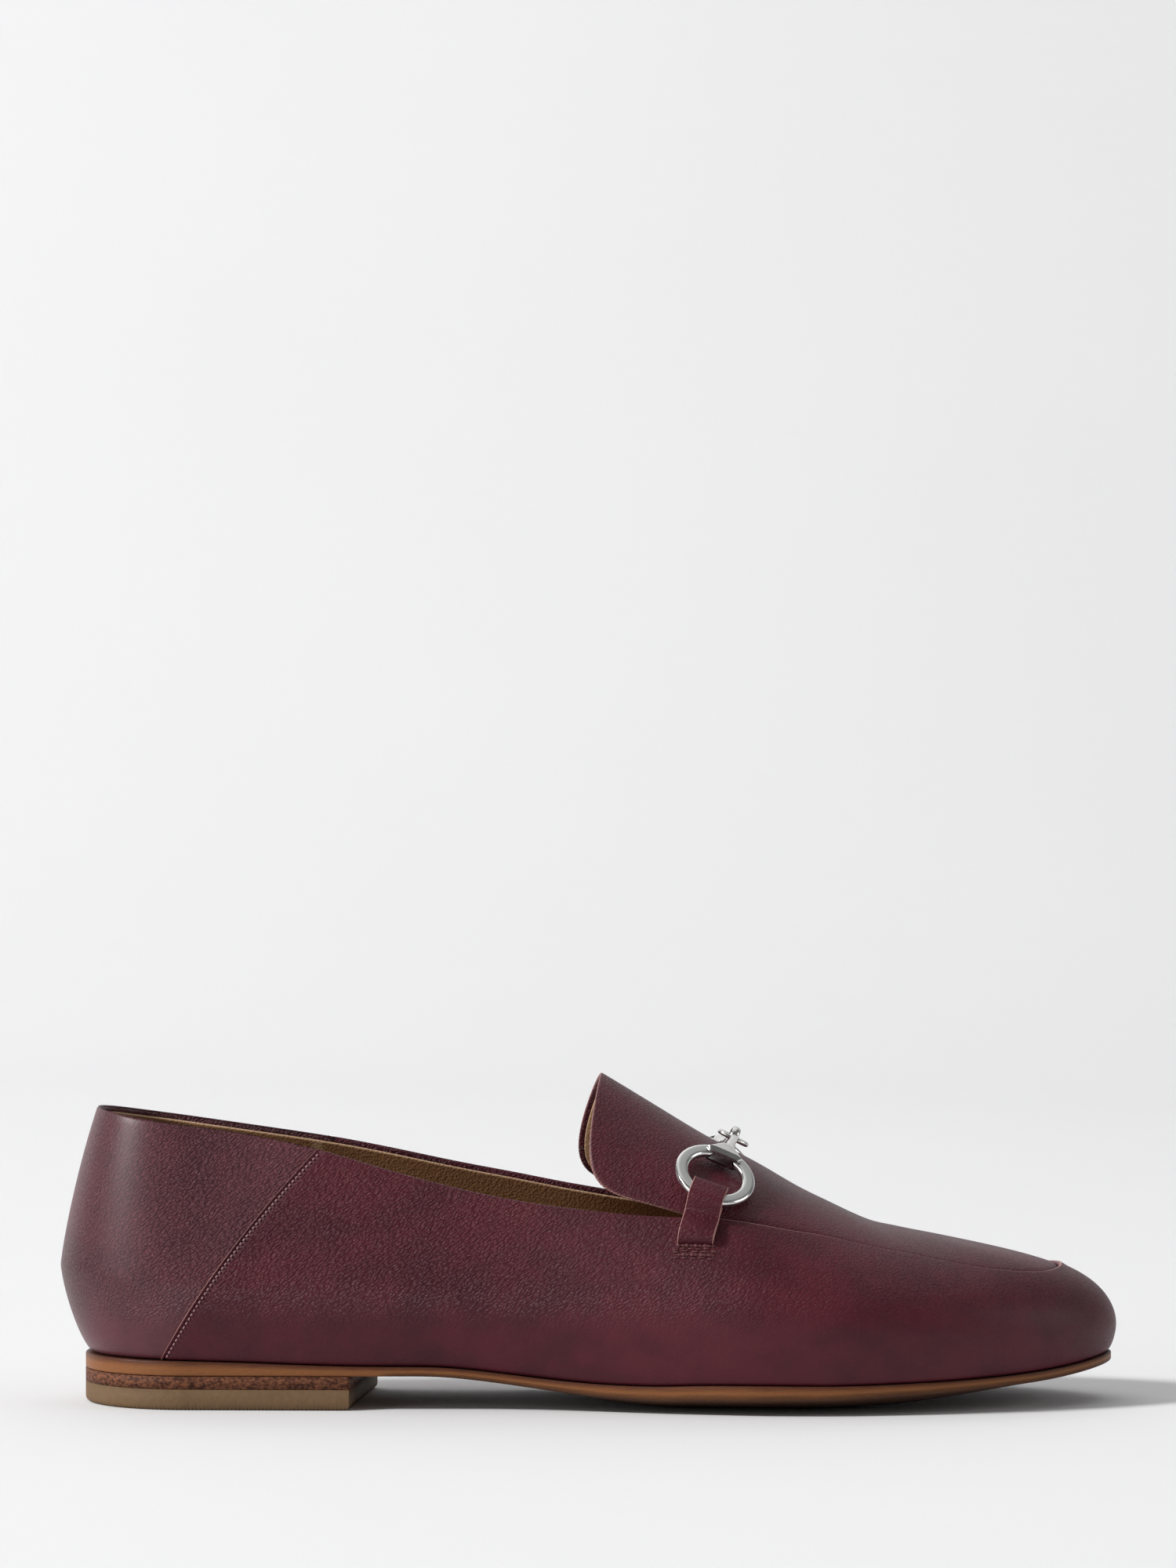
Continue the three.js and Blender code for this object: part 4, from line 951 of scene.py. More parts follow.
def leather(name, tone, grain, sheen):
    """Burgundy calf: a wavy pebbled grain that runs up towards the toe, strongest on the heel and
    pressed smooth low on the wall and along the vamp, cloudy dye, and a painted highlight that
    lightens its high points."""
    finish = Finish(name)
    low = finish.node("SeparateXYZ", Vector=finish.place(), result=2).ease(0.018, 0.032)
    ahead = finish.node("SeparateXYZ", Vector=finish.place(), result=0).ease(-0.04, 0.05)
    depth = low * (1.0 - ahead * 0.6) * grain
    drawn = finish.stretched((950, 2100, 2200), (0, -0.6, 0))
    wander = finish.node("TexNoise", result=1, Vector=drawn, Scale=0.45, Detail=2.0)
    sway = (1.3, 1.3, 1.3)
    bent = finish.node("VectorMath", {"operation": "MULTIPLY_ADD"}, i0=wander, i1=sway, i2=drawn)
    cells = {"feature": "SMOOTH_F1"}
    pebbles = finish.node("TexVoronoi", cells, Vector=bent, Scale=1.0, Smoothness=0.2)
    pores = finish.noise((2600, 2600, 3600), 3.0)
    cloud = finish.noise((30, 30, 40), 3.0)
    blotch = finish.noise((130, 130, 150))
    patch = cloud * 0.6 + blotch * 0.4
    # Painted highlight: the colour is lightened on the grain's high points, where the lamps' sparkle
    # would be.
    painted_grain_highlight = pebbles.ease(0.5, 0.15) * depth
    dye = finish.blend(patch.ease(0.34, 0.66), tone[0], tone[1])
    dye = finish.blend(painted_grain_highlight * 0.28, dye, (0.34, 0.15, 0.17))
    # Lighter towards the cut edge's colour where the mesh marks it: real cut edges, and on the side
    # walls also a painted highlight along the folded edge over the apron.
    dye = finish.blend(finish.mark("cut"), dye, (0.46, 0.24, 0.21))
    height = (1.0 - pebbles) * (depth + 0.06) + pores * 0.12
    finish.wear(
        Base_Color=dye,
        Roughness=0.28 + pebbles * 0.26 + patch * 0.12,
        Specular_IOR_Level=0.16,
        Coat_Weight=sheen,
        Coat_Roughness=0.4,
        Normal=finish.bump(height, 0.0009),
    )
    return finish


# The counter's tone is lighter and greyer than the walls' burgundy: painted sheen, for the light that
# falls on the heel from the left.
counter_tone_with_painted_sheen = ((0.068, 0.014, 0.021), (0.108, 0.023, 0.032))
grained_leather = leather("grained_leather", counter_tone_with_painted_sheen, 1.0, 0.55)


def counter_half(side):
    """Rows of one half of the counter, from the back to its lap under the side wall."""
    rows = lifts_of_rows(side)
    ends = seam_girths(side, rows) + SEAM_LAP
    girth = np.linspace(0, 1, 90)[None, :] * ends[:, None]
    points = []
    for k, row in enumerate(girth):
        lifts, insets = wall_profile(side, row)
        step = SEAM_STEP * (insets[k] < FOLD_ROUND)
        points.append(last_point(row, side, lifts[k], insets[k] + step))
    return np.array(points)


counter_points = np.concatenate([counter_half(OUTER)[:, ::-1], counter_half(INNER)[:, 1:]], 1)
counter_mesh = skin(counter_points, marks={"cut": 0.0})
piece("counter", counter_mesh, grained_leather, stands_for=["upper"], wall=0.45)

# The side walls: one wrap of burgundy leather from seam to seam round the toe, lasted under the
# insole. It laps over the counter with a cut edge, rolls over at the collar, and its folded edge
# laps over the apron.
EDGE_STEPS = np.array([0.0, 0.0, 0.03, 0.1, 0.22, 0.45, 0.8, 1.1, 1.4, 1.8, 2.3])
EDGE_DROPS = np.array([0.5, 0.28, 0.1, -0.02, -0.06, 0.1, 0.36, 0.42, 0.34, 0.12, 0.0])
EDGE_CUT = (0.6, 1.0, 1.0, 0.5)
TOE_LIP = 0.35
TOE_LIP_START = 16
TOE_LIP_EASE = 10
TOE_LIP_HEIGHT = 1.5
# The painted highlight on the roll of the walls' folded edge over the apron: its strength, and where on
# the roll it lies.
RIM_PAINTED_HIGHLIGHT = 0.75
RIM_INSET = 0.12
RIM_SPREAD = 0.16


def wall_half(side):
    """Rows of one side wall: a rounded cut edge at the seam and the stitches' channel behind it,
    then forward to the middle of the toe."""
    rows = lifts_of_rows(side)
    starts = seam_girths(side, rows)
    share = np.linspace(0, 1, 230)[1:]
    points, cut_and_highlight_rows = [], []
    for k, start in enumerate(starts):
        rest = start + EDGE_STEPS[-1] + share * (GIRTH - start - EDGE_STEPS[-1])
        row = np.concatenate([start + EDGE_STEPS, rest])
        sink = np.concatenate([EDGE_DROPS, np.zeros_like(rest)])
        lifts, insets = wall_profile(side, row)
        facing_out = 1 - smooth(insets[k] / FOLD_ROUND)
        fall = (ray_at(side, "top", row) - lifts[k]) * ray_at(side, "rate", row)
        lip = TOE_LIP * smooth((row - GIRTH + TOE_LIP_START) / TOE_LIP_EASE)
        lip = lip * np.exp(-((fall / TOE_LIP_HEIGHT) ** 2))
        points.append(last_point(row, side, lifts[k], insets[k] + (sink - lip) * facing_out))
        # Painted highlight: along the roll of the folded edge over the apron, ahead of the junction,
        # the colour is drawn towards the light cut-edge colour.
        rim = np.exp(-(((insets[k] - RIM_INSET) / RIM_SPREAD) ** 2)) * (insets[k] > 0)
        cut = RIM_PAINTED_HIGHLIGHT * smooth((row - junction_girth) / JUNCTION_EASE) * rim
        cut[: len(EDGE_CUT)] = EDGE_CUT
        cut_and_highlight_rows.append(cut)
    return np.array(points), np.array(cut_and_highlight_rows)


(wall_outer, wall_outer_cut_and_highlight), (wall_inner, wall_inner_cut_and_highlight) = wall_half(OUTER), wall_half(INNER)
burgundy = ((0.054, 0.0062, 0.0120), (0.086, 0.0102, 0.0190))
smooth_leather = leather("smooth_leather", burgundy, 0.6, 0.22)
wall_cut_and_highlight = around(wall_outer_cut_and_highlight, wall_inner_cut_and_highlight)
wall_mesh = skin(around(wall_outer, wall_inner), turned=True, marks={"cut": wall_cut_and_highlight})
piece("side_walls", wall_mesh, smooth_leather, stands_for=["upper"], wall=0.4)

# The apron and tongue: one plug of burgundy leather under the folded edge of the side walls, run
# on behind the junction as a free tongue with a rolled edge, and lined inside.
PLUG_STEP = 0.5
TONGUE_LENGTH = 24.2
TONGUE_FLARE = {OUTER: 5.4, INNER: 9.5}
TONGUE_CURVE = 1.7
TONGUE_RISE = -0.05
TONGUE_SQUARENESS = 7
TONGUE_ROLL = 0.6
TONGUE_HEM = 0.86
TUCK = 0.9
SEAM_SINK = 0.6
SEAM_SINK_REACH = 1.3


def tongue_point(side, back, turn, inset):
    """The tongue: a fan from the junction back to a squared round outline. Turn is 0 on the ridge
    and 1 at the junction's corner; back is 0 at the junction and 1 on the outline."""
    base = ray_at(side, "apron_lift", junction_girth)
    cos, sin = np.cos(turn * math.pi / 2), np.sin(turn * math.pi / 2)
    size = (cos**TONGUE_SQUARENESS + sin**TONGUE_SQUARENESS) ** (-1 / TONGUE_SQUARENESS)
    across = turn + (size * sin - turn) * back
    length = TONGUE_LENGTH + TONGUE_FLARE[side] * across**TONGUE_CURVE
    behind = np.where(turn >= 1, 0, length * back * size * cos)
    lift = base + TONGUE_RISE * (1 - base) * behind / length
    return last_point(junction_girth - behind, side, 1 - (1 - lift) * across, inset)


def apron_lifts(side, girth, turns, tuck):
    """Lifts from a little under the folded edge up to the ridge."""
    start = ray_at(side, "apron_lift", girth) - tuck / ray_at(side, "rate", girth)
    return 1 - (1 - start) * turns


def plug_sheet(tongue_rows, inset, count, tuck=0.0, seam_sink=0.0):
    """Both halves of the apron and tongue: the tongue's rows of back and inset, then rows forward
    to the toe at one inset. The apron can be tucked under the folded edge and sunk along it."""
    halves = []
    turns = np.linspace(1, 0, count)
    girths = junction_girth + np.linspace(0, 1, 150)[1:] * (GIRTH - junction_girth)
    for side in SIDES:
        rows = [tongue_point(side, back, turns, tongue_inset) for back, tongue_inset in tongue_rows]
        for girth in girths:
            lifts = apron_lifts(side, girth, turns, tuck * smooth((girth - junction_girth) / 3))
            width = (1 - ray_at(side, "apron_lift", girth)) * ray_at(side, "rate", girth)
            near_seam = np.exp(-(((1 - turns) * width / SEAM_SINK_REACH) ** 2))
            rows.append(last_point(girth, side, lifts, inset + seam_sink * near_seam))
        halves.append(np.array(rows))
    return around(*halves)


under_inset = 2 * TONGUE_ROLL + PLUG_STEP
tongue_rows = [(TONGUE_HEM, under_inset)]
for angle in np.linspace(math.pi, 0, 9):
    back = 1 - 0.03 * (1 - math.sin(angle))
    tongue_rows.append((back, PLUG_STEP + TONGUE_ROLL * (1 - math.cos(angle))))
tongue_rows += [(back, PLUG_STEP) for back in np.linspace(0.96, 0, 30)]
plug_points = plug_sheet(tongue_rows, PLUG_STEP, 60, TUCK, SEAM_SINK)
plug_cut = np.zeros(plug_points.shape[0])
plug_cut[4:8] = (0.4, 0.8, 0.7, 0.2)
plug_mesh = skin(plug_points, marks={"cut": plug_cut[:, None]})
piece("apron", plug_mesh, smooth_leather, stands_for=["upper"], wall=0.4)

lined_inset = under_inset + 0.45
under_rows = [(0.955, under_inset), (0.955, under_inset + 0.3), (0.95, lined_inset)]
under_rows += [(back, lined_inset) for back in np.linspace(0.9, 0, 12)]
under_points = plug_sheet(under_rows, lined_inset, 40)
under_cut = np.zeros(under_points.shape[0])
under_cut[:3] = (1.0, 1.0, 0.5)
under_mesh = skin(under_points, turned=True, marks={"cut": under_cut[:, None]})
piece("tongue_lining", under_mesh, tan_leather, stands_for=["upper"], wall=0.3)

# The side seams are sewn with burgundy thread in one row, close behind the lapped edge, in the
# channel that the thread has drawn into the leather.
THREAD_RADIUS = 0.26
STITCH_SETBACK = 1.25
STITCH_PITCH = 1.25
STITCH_LENGTH = 1.05
STITCH_INSET = 0.22
SEWN_ROWS = np.arange(2, WALL_ROWS)

thread = Finish("thread")
thread_twist = thread.noise((2500, 2500, 2500))
thread.wear(
    Base_Color=thread.blend(thread_twist, (0.15, 0.055, 0.065), (0.42, 0.23, 0.24)),
    Roughness=0.55 + thread_twist * 0.2,
    Normal=thread.bump(thread_twist, 0.0001),
)


def unit(vectors):
    """Each vector at length one."""
    return vectors / np.linalg.norm(vectors, axis=-1, keepdims=True)


def outward(side, girth, lift):
    """Normals of the last: square to a small step along it and a small step up it."""
    along = last_point(girth + 0.5, side, lift) - last_point(girth - 0.5, side, lift)
    high = last_point(girth, side, lift + LIFT_STEP)
    up = high - last_point(girth, side, lift - LIFT_STEP)
    return unit(-side * np.cross(along, up))


def evenly(line, pitch):
    """Places at equal steps along a line of points, the line's directions there, and the number
    of the line's point nearest to each."""
    at = np.arange(pitch / 2, run_of(line)[-1] - pitch / 2, pitch)
    spots = spots_on(line, at)
    nearest = np.linalg.norm(line[None] - spots[:, None], axis=2).argmin(1)
    return spots, unit(spots_on(line, at + 0.2) - spots_on(line, at - 0.2)), nearest


def full_turn(count):
    """Angles at even steps once round."""
    return np.linspace(0, 2 * math.pi, count, endpoint=False)


def stitches(at, way, out, length, radius):
    """Threads that come up out of one hole and go down the next: a round section whose radius
    falls to nothing at both ends, along an arc that starts and ends under the leather."""
    share = np.linspace(-1, 1, 7)[:, None, None]
    turn = full_turn(6)[None, :, None]
    thick = radius * np.sqrt(1 - share**4)
    rise = radius * (0.9 - 2.4 * share**4)
    at, way, out = (part[:, None, None, :] for part in (at, way, out))
    sideways = np.cross(way, out) * thick * np.sin(turn)
    return at + way * share * length / 2 + out * (rise + thick * np.cos(turn)) + sideways


for side, name in SIDES.items():
    rows = lifts_of_rows(side)
    seam = seam_girths(side, rows)[SEWN_ROWS] + STITCH_SETBACK
    lifts = np.array([wall_profile(side, girth)[0][k, 0] for k, girth in zip(SEWN_ROWS, seam)])
    at, way, nearest = evenly(last_point(seam, side, lifts, STITCH_INSET), STITCH_PITCH)
    out = outward(side, seam[nearest], lifts[nearest])
    seam_points = stitches(at, way, out, STITCH_LENGTH, THREAD_RADIUS)
    seam_threads = skin(seam_points, wrap=True, merge=True)
    piece("seam_stitches_" + name, seam_threads, thread)

# The straps: one burgundy band on each side, cut raw at its edges. It comes out of a slit in the
# vamp, runs up behind the ring, folds over the ring's lower part and goes back into the slit.
RING_RADIUS = 10.2
RING_BAND = 3.3
RING_THICKNESS = 2
RING_STATION = JUNCTION + 3.5
RING_REACH = {OUTER: 0.334 * BALL_WIDTH, INNER: 0.281 * BALL_WIDTH}
RING_LIFT = {OUTER: 1.615, INNER: 1.552}
RING_SLOPE = 28
RING_TILT = -1
RING_TURN = 3
STRAP_WIDTH = 8.7
STRAP_LEATHER = 1
STRAP_CORNER = 0.2
STRAP_CUP = 0.12
STRAP_CUT_EDGE = 0.12
STRAP_CLEARANCE = 0.42
STRAP_SLOPE = 20
STRAP_TWIST = 0.4
STRAP_DRAPE = 0.8
SLIT_STATION = JUNCTION - 1.1
STRAP_DROP = 18.6
SLIT_SLOPE = 4


def sloping(slope, normal):
    """The direction across a normal that falls by a slope in degrees towards the toe."""
    level = np.array([math.cos(math.radians(slope)), 0, -math.sin(math.radians(slope))])
    return unit(level - normal * (normal @ level)[..., None])


def ring_frame(side):
    """The ring's lift, the strap's slope in the ring's plane, the ring's centre and its axes:
    across, towards the ridge and out."""
    girth = girth_at(RING_STATION)
    reach = RING_REACH[side] / ray_at(side, "bulge", girth)
    lift = math.acos(reach ** (ray_at(side, "shoulder", girth) / 2)) / (math.pi / 2)
    wall_out = outward(side, girth, lift)
    along = sloping(RING_SLOPE, wall_out)
    tilt = -side * math.radians(RING_TILT)
    out = wall_out * math.cos(tilt) + np.cross(along, wall_out) * math.sin(tilt)
    up = -side * np.cross(out, along)
    turn = -side * math.radians(RING_TURN)
    out = out * math.cos(turn) + np.cross(up, out) * math.sin(turn)
    centre = last_point(girth, side, lift) + wall_out * RING_LIFT[side]
    return lift, sloping(STRAP_SLOPE, out), centre, np.array([np.cross(up, out), up, out])


def strap_line(side, share):
    """The wall under the strap from the slit, 0, to the ring's centre, 1: points, normals and
    the directions of the strap's width."""
    ring_lift, strap_along, _, _ = ring_frame(side)
    under_ring = last_point(girth_at(RING_STATION), side, ring_lift)
    slit = girth_at(SLIT_STATION)

    def short(lift):
        """How much nearer than the strap's drop the wall at a lift lies to the ring's foot."""
        return STRAP_DROP - np.linalg.norm(last_point(slit, side, lift) - under_ring, axis=-1)

    slit_lift = halve(short, np.zeros(1), np.full(1, ring_lift))[0]
    girth = girth_at(SLIT_STATION + (RING_STATION - SLIT_STATION) * share)
    lift = slit_lift + (ring_lift - slit_lift) * share
    out = outward(side, girth, lift)
    twist = smooth(share / STRAP_TWIST)[..., None]
    width = sloping(SLIT_SLOPE, out) * (1 - twist) + strap_along * twist
    drape = STRAP_DRAPE * (1 - share)[..., None]
    width = width - out * (width * out).sum(-1, keepdims=True) * drape
    return last_point(girth, side, lift), out, unit(width)


def over_wall(side, places):
    """Share of the strap's line and height above the wall of places in the ring's own plane."""
    _, _, centre, axes = ring_frame(side)
    target = centre + np.array(places, float) @ axes[1:]

    def past(share):
        """How far past each place the strap's line is at a share, measured along it."""
        point, _, _ = strap_line(side, share)
        ahead, _, _ = strap_line(side, share + 0.01)
        return ((point - target) * (ahead - point)).sum(-1)

    share = halve(past, np.zeros(len(target)), np.full(len(target), 1.1))
    point, out, _ = strap_line(side, share)
    return np.stack([share, ((target - point) * out).sum(-1)], -1)


def strap_points(side):
    """A rounded band carried along the strap's folded middle line."""
    low = -(RING_RADIUS + STRAP_CLEARANCE)
    high = -math.sqrt((RING_RADIUS - RING_BAND) ** 2 - STRAP_WIDTH**2 / 4) + STRAP_CLEARANCE
    tall = RING_THICKNESS / 2 + STRAP_CLEARANCE
    half = STRAP_LEATHER / 2
    round_ring = [
        (high - 0.3, -tall + 0.1),
        (high + half - 0.15, -0.5),
        (high + half - 0.1, 0.6),
        (high - 0.5, tall + half - 0.15),
        (low + 2.2, tall + half),
        (low + 0.4, tall + half - 0.25),
    ]
    fold = over_wall(side, round_ring)
    behind = [(-0.05, -0.9), (0.02, 0.3), (0.25, 0.82), (fold[0, 0] - 0.12, 0.85)]
    front_top = over_wall(side, [(low - 2 * STRAP_LEATHER, 0.0)])[0, 0]
    doubled = FIT_GAP + 1.5 * STRAP_LEATHER + 0.1
    front = [(front_top, doubled), (front_top / 2, doubled - 0.1), (0.06, doubled - 0.2)]
    front += [(0.015, 0.9), (0.0, -0.5)]
    share, height = np.array([*behind, *fold, *front]).T
    point, out, _ = strap_line(side, share)
    knots = point + out * height[:, None]
    at = run_of(knots)
    sample = np.linspace(0, at[-1], 110)
    middle = np.stack([spline(at, knots[:, k])(sample) for k in range(3)], -1)
    width = strap_line(side, np.interp(sample, at, share))[2]
    way = unit(np.gradient(middle, axis=0))
    width = unit(width - way * (width * way).sum(-1, keepdims=True))
    face = np.cross(way, width) * side
    corner = np.radians([0, 30, 60, 90])
    across, deep = [], []
    for turn, (x, y) in enumerate([(1, 1), (-1, 1), (-1, -1), (1, -1)]):
        at_corner = corner + turn * math.pi / 2
        across += list(x * (STRAP_WIDTH / 2 - STRAP_CORNER) + STRAP_CORNER * np.cos(at_corner))
        deep += list(y * (half - STRAP_CORNER) + STRAP_CORNER * np.sin(at_corner))
    across, deep = np.array(across), np.array(deep)
    deep = deep - STRAP_CUP * (across / (STRAP_WIDTH / 2)) ** 2
    rows = middle[:, None] + width[:, None] * across[:, None] + face[:, None] * deep[:, None]
    ends = [row.mean(1, keepdims=True).repeat(len(across), 1) for row in (rows[:1], rows[-1:])]
    closed = np.concatenate([ends[0], rows, ends[1]])
    return closed, (np.abs(across) > STRAP_WIDTH / 2 - STRAP_CUT_EDGE) * 1.0


strap_leather = leather("strap_leather", burgundy, 0.5, 0.2)
for side, name in SIDES.items():
    strap_rows, strap_cut = strap_points(side)
    strap_mesh = skin(strap_rows, wrap=True, merge=True, marks={"cut": strap_cut})
    strap_node = "bit_strap_" + name
    piece("strap_" + name, strap_mesh, strap_leather, stands_for=[strap_node])

# The slits: each strap passes through a cut in the side wall. Three rows of bar tacks hold the
# leather below the strap, and two rolled lips of it are frayed by wear.
SLIT_ROWS = [
    {"fall": 1.5, "pitch": 1.9, "bow": 0.5},
    {"fall": 2.2, "pitch": 2.3, "bow": 0.2},
    {"fall": 3.7, "pitch": 2.1, "bow": 0.3},
]
SLIT_ROW_HALF = 5.8
TACK_RADIUS = 0.19
TACK_COVER = 0.92
TACK_WANDER = 0.16
SLIT_LIPS = [{"fall": 0.75, "radius": 0.5}, {"fall": 2.95, "radius": 0.4}]
SLIT_LIP_HALF = 4.9
SLIT_LIP_BOW = 0.1


def wall_place(side, x, z):
    """Girth and lift of the place on the wall, along the straight waist, at an x and a height."""
    girth = girth_at(x)
    above = lambda lift: last_point(girth, side, lift)[..., 2] - z
    return girth, halve(above, np.zeros_like(x), np.full_like(x, 0.97))


def slit_row(side, fall, half_length, bow):
    """A line on the wall, a fall under the slit, that slopes with it and bows a little."""
    slit, _, width = strap_line(side, np.zeros(1))
    u = np.linspace(-half_length, half_length, 60)
    x = slit[0, 0] + u * width[0, 0]
    z = slit[0, 2] + u * width[0, 2] - fall - bow * (u / half_length) ** 2
    girth, lift = wall_place(side, x, z)
    return last_point(girth, side, lift), outward(side, girth, lift)


for side, name in SIDES.items():
    threads = []
    for row in SLIT_ROWS:
        line, line_out = slit_row(side, row["fall"], SLIT_ROW_HALF, row["bow"])
        at, way, nearest = evenly(line, row["pitch"])
        out = line_out[nearest]
        wander = TACK_WANDER * np.sin(np.arange(len(at)) * 2.4 + row["fall"])[:, None]
        at = at + np.cross(way, out) * wander
        threads.append(stitches(at, way, out, row["pitch"] * TACK_COVER, TACK_RADIUS))
    row_points = np.concatenate(threads)
    row_mesh = skin(row_points, wrap=True, merge=True, marks={"cut": 0.15})
    piece("slit_stitches_" + name, row_mesh, strap_leather)
    lips = []
    for lip in SLIT_LIPS:
        line, out = slit_row(side, lip["fall"], SLIT_LIP_HALF, SLIT_LIP_BOW)
        across = np.cross(unit(np.gradient(line, axis=0)), out)
        turn = full_turn(8)[:, None]
        u = np.linspace(-1, 1, len(line))
        fray = 1 + 0.22 * np.sin(13 * u + lip["fall"]) + 0.16 * np.sin(29 * u)
        radius = (lip["radius"] * fray * np.sqrt(1 - u**6))[:, None, None]
        roll = out[:, None] * np.cos(turn) + across[:, None] * np.sin(turn)
        lips.append(line[:, None] + radius * roll)
    lip_mesh = skin(np.array(lips), wrap=True, merge=True, marks={"cut": 0.1})
    piece("slit_lip_" + name, lip_mesh, strap_leather)

# The rings: cast metal rings with a broad satin face and polished round edges. Each is free to
# turn about its own middle, in its strap and in the block of its half bar.
RING_ROUND = 1.0
RING_CORNERS = [
    {"middle": RING_RADIUS - RING_ROUND, "start": -90, "bow": 0.7},
    {"middle": RING_RADIUS - RING_ROUND, "start": 0, "bow": 0.7},
    {"middle": RING_RADIUS - RING_BAND + RING_ROUND, "start": 90, "bow": 0.8},
    {"middle": RING_RADIUS - RING_BAND + RING_ROUND, "start": 180, "bow": 0.8},
]

ring_metal = Finish("satin_metal")
ring_brush = ring_metal.noise((2500, 700, 2500), 3.0)
ring_cloud = ring_metal.noise((160, 160, 160))
ring_polish = ring_metal.mark("polish")
ring_metal.wear(
    Base_Color=ring_metal.blend(ring_polish, (0.46, 0.47, 0.46), (0.78, 0.77, 0.76)),
    Metallic=1.0,
    Roughness=0.34 + ring_brush * 0.1 - ring_polish * 0.24,
    Normal=ring_metal.bump(ring_brush + ring_cloud * 0.5, 0.00001),
)


def lathe(section, count):
    """Rows of a section, given by radius and height, turned about the third axis."""
    turn = full_turn(count)
    radius, height = np.array(section).T[..., None]
    points = np.broadcast_arrays(radius * np.cos(turn), radius * np.sin(turn), height)
    return np.stack(points, -1)


ring_section, ring_shine = [], []
for corner in RING_CORNERS:
    for angle in np.radians(corner["start"] + np.linspace(0, 90, 8)):
        rise = math.copysign(abs(math.sin(angle)) ** corner["bow"], math.sin(angle))
        ring_section.append((corner["middle"] + RING_ROUND * math.cos(angle), rise))
        ring_shine.append(min(1.0, 1.6 * abs(math.cos(angle))))
ring_section.append(ring_section[0])
ring_shine = np.array([*ring_shine, ring_shine[0]])[:, None]
for side, name in SIDES.items():
    _, _, ring_centre, ring_axes = ring_frame(side)
    ring_points = lathe(ring_section, 160) @ ring_axes + ring_centre
    ring_mesh = skin(ring_points, wrap=True, merge=True, marks={"polish": ring_shine})
    ring_node = "bit_ring_" + name
    piece("ring_" + name, ring_mesh, ring_metal, "ring_" + name, [ring_node])

# The half bars: polished castings. A chamfered block holds the ring, a trumpet tapers from it to
# a neck, and an eye ends it. The outer bar's eye lies flat and the inner bar's eye hooks it.
BLOCK_LENGTH = 9.3
BLOCK_WIDTH = 5.2
BLOCK_THICKNESS = 4.4
BLOCK_BEVEL = 0.8
BLOCK_BEND = 0.6
TRUMPET_LENGTH = 9.5
NECK_RADIUS = 1.05
EYE_STATION = JUNCTION + 8
EYE_LIFT = 2.35
EYE_REACH = 2.6
EYES = {
    OUTER: {"half_x": 3.7, "wire": 0.62, "breadth": 0.62, "rise": 0.0, "axes": [0, 1, 2]},
    INNER: {"half_x": 1.9, "wire": 0.55, "breadth": 1.1, "rise": 0.45, "axes": [2, 1, 0]},
}
FACE_BEVEL = 0.12
TRUMPET_CURVE = 1.6
THINNING_START = 1.2
THINNING_LENGTH = 5.5
BEND_START = 1.5
BEND_LENGTH = 5

bar_metal = Finish("polished_metal")
bar_swirl = bar_metal.noise((350, 350, 350), 3.0)
bar_metal.wear(
    Base_Color=bar_metal.blend(bar_swirl, (0.60, 0.59, 0.57), (0.72, 0.71, 0.69)),
    Metallic=1.0,
    Roughness=0.14 + bar_swirl * 0.14,
    Normal=bar_metal.bump(bar_swirl, 0.00006),
)

eye_ridge = last_point(girth_at(EYE_STATION), OUTER, 1.0)
ridge_way = unit(last_point(girth_at(EYE_STATION + 1), OUTER, 1.0) - eye_ridge)
eye_up = unit(np.cross(ridge_way, [0, 1, 0]))
eye_axes = np.array([ridge_way, np.cross(eye_up, ridge_way), eye_up])
eye_centre = eye_ridge + eye_up * EYE_LIFT


def eye_loop(half_x, half_y, wire, breadth):
    """A wire bent round an oval about the third axis, with its own breadth along that axis."""
    turn = full_turn(72)[None, :]
    roll = np.linspace(0, 2 * math.pi, 14)[:, None]
    out = unit(np.stack([half_y * np.cos(turn), half_x * np.sin(turn)], -1))
    x = half_x * np.cos(turn) + wire * np.cos(roll) * out[..., 0]
    y = half_y * np.sin(turn) + wire * np.cos(roll) * out[..., 1]
    return np.stack(np.broadcast_arrays(x, y, breadth * np.sin(roll)), -1)


def bar_points(length, block_axes, neck_axes):
    """Ovals along the bar: a boxy end face, a chamfer out to the wide rim that holds the ring, then
    a trumpet drawn in to the round neck. The ovals turn from the block's axes to the neck's."""
    wide, tall = BLOCK_LENGTH / 2, BLOCK_THICKNESS / 2
    face = -BLOCK_WIDTH / 2
    share = np.linspace(0, 1, 30)
    flare = face + BLOCK_BEVEL + share * TRUMPET_LENGTH
    along = np.concatenate([[face, face, face + FACE_BEVEL], flare, [length, length]])
    trumpet_x = NECK_RADIUS + (wide - NECK_RADIUS) * (1 - share) ** TRUMPET_CURVE
    trumpet_z = tall - (tall - NECK_RADIUS) * smooth((flare - THINNING_START) / THINNING_LENGTH)
    half_x = np.concatenate([[0, wide - 0.9, wide - 0.75], trumpet_x, [NECK_RADIUS, 0]])
    half_z = np.concatenate([[0, tall - 0.95, tall - 0.8], trumpet_z, [NECK_RADIUS, 0]])
    power = np.concatenate([[0.2] * 3, 0.42 + 0.58 * smooth(share * 1.4), [1, 1]])[:, None]
    turn = full_turn(48)[None, :]
    x = half_x[:, None] * np.sign(np.cos(turn)) * np.abs(np.cos(turn)) ** power
    z = half_z[:, None] * np.sign(np.sin(turn)) * np.abs(np.sin(turn)) ** power
    bent = smooth((along - BEND_START) / BEND_LENGTH)[:, None, None]
    axes = unit(block_axes * (1 - bent) + neck_axes * bent)[:, None]
    length_part = along[:, None, None] * axes[:, :, 1]
    return x[..., None] * axes[:, :, 0] + length_part + z[..., None] * axes[:, :, 2]


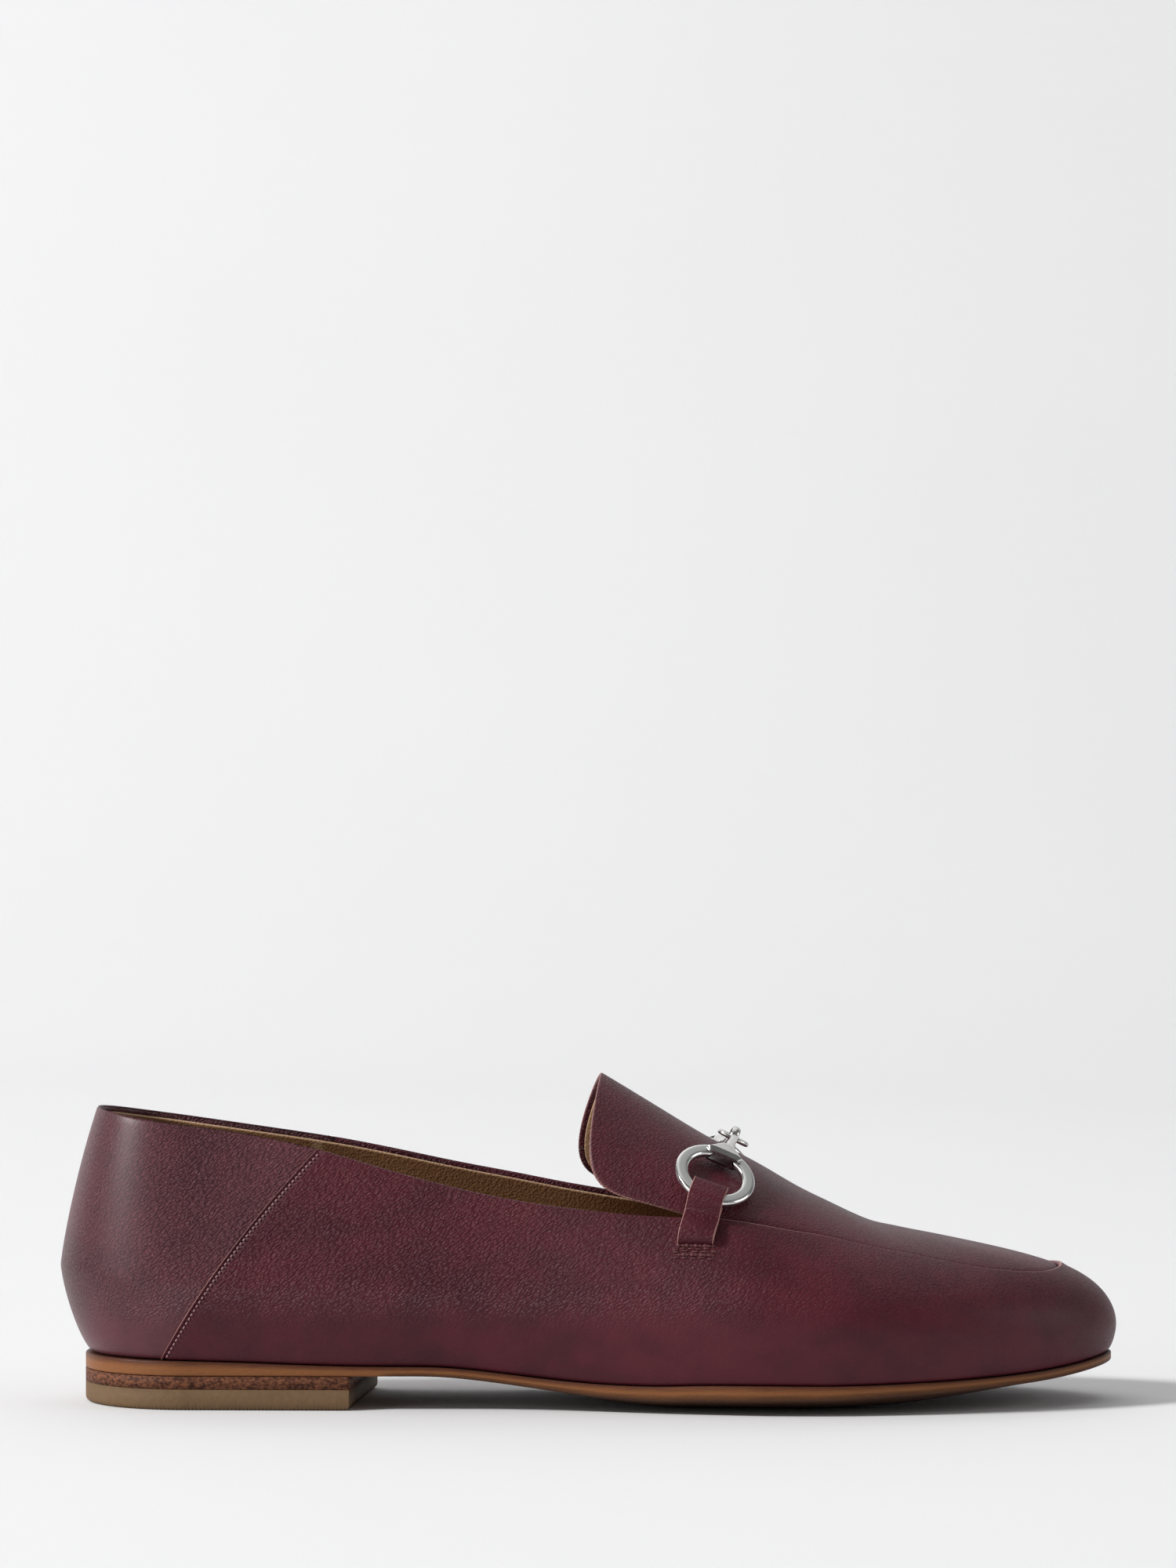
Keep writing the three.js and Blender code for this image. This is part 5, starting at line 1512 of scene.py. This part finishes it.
def carve(mesh, other, way):
    """The mesh joined with, or cut by, another closed mesh."""
    pair = [bpy.data.objects.new("carved", mesh), bpy.data.objects.new("tool", other)]
    for part in pair:
        bpy.context.scene.collection.objects.link(part)
    change = pair[0].modifiers.new("carve", "BOOLEAN")
    change.operation = way
    change.object = pair[1]
    change.solver = "EXACT"
    made = bpy.data.meshes.new_from_object(pair[0].evaluated_get(bpy.context.evaluated_depsgraph_get()))
    for part in pair:
        bpy.data.objects.remove(part)
    return made


for side, name in SIDES.items():
    _, _, ring_centre, ring_axes = ring_frame(side)
    eye = EYES[side]
    root = ring_centre + ring_axes[1] * (RING_RADIUS - RING_BAND / 2)
    end = eye_centre + np.array([0, side * 1.5 * EYE_REACH, eye["rise"]]) @ eye_axes
    reach = np.linalg.norm(end - root)
    way = (end - root) / reach
    bend = math.asin(way @ ring_axes[2])
    sideways = unit(np.cross(way, ring_axes[2]))
    neck_axes = np.array([sideways, way, np.cross(sideways, way)])
    tilt = bend * BLOCK_BEND
    block_way = ring_axes[1] * math.cos(tilt) + ring_axes[2] * math.sin(tilt)
    block_axes = np.array([ring_axes[0], block_way, np.cross(ring_axes[0], block_way)])
    bar = skin(bar_points(reach, block_axes, neck_axes) + root, wrap=True, merge=True)
    loop = eye_loop(eye["half_x"], EYE_REACH, eye["wire"], eye["breadth"])[..., eye["axes"]]
    loop = (loop + np.array([0, side * EYE_REACH / 2, eye["rise"]])) @ eye_axes + eye_centre
    eye_mesh = skin(loop, wrap=True, merge=True)
    near, far = RING_RADIUS - RING_BAND - FIT_GAP, RING_RADIUS + FIT_GAP
    tall = RING_THICKNESS / 2 + FIT_GAP
    channel = [(near, -tall), (far, -tall), (far, tall), (near, tall), (near, -tall)]
    channel_points = lathe(channel, 96) @ ring_axes + ring_centre
    channel_mesh = skin(channel_points, wrap=True, merge=True)
    bar = carve(carve(bar, eye_mesh, "UNION"), channel_mesh, "DIFFERENCE")
    bar.shade_smooth()
    bar.set_sharp_from_angle(angle=math.radians(30))
    piece("bar_" + name, bar, bar_metal, stands_for=["bit_bar_" + name])
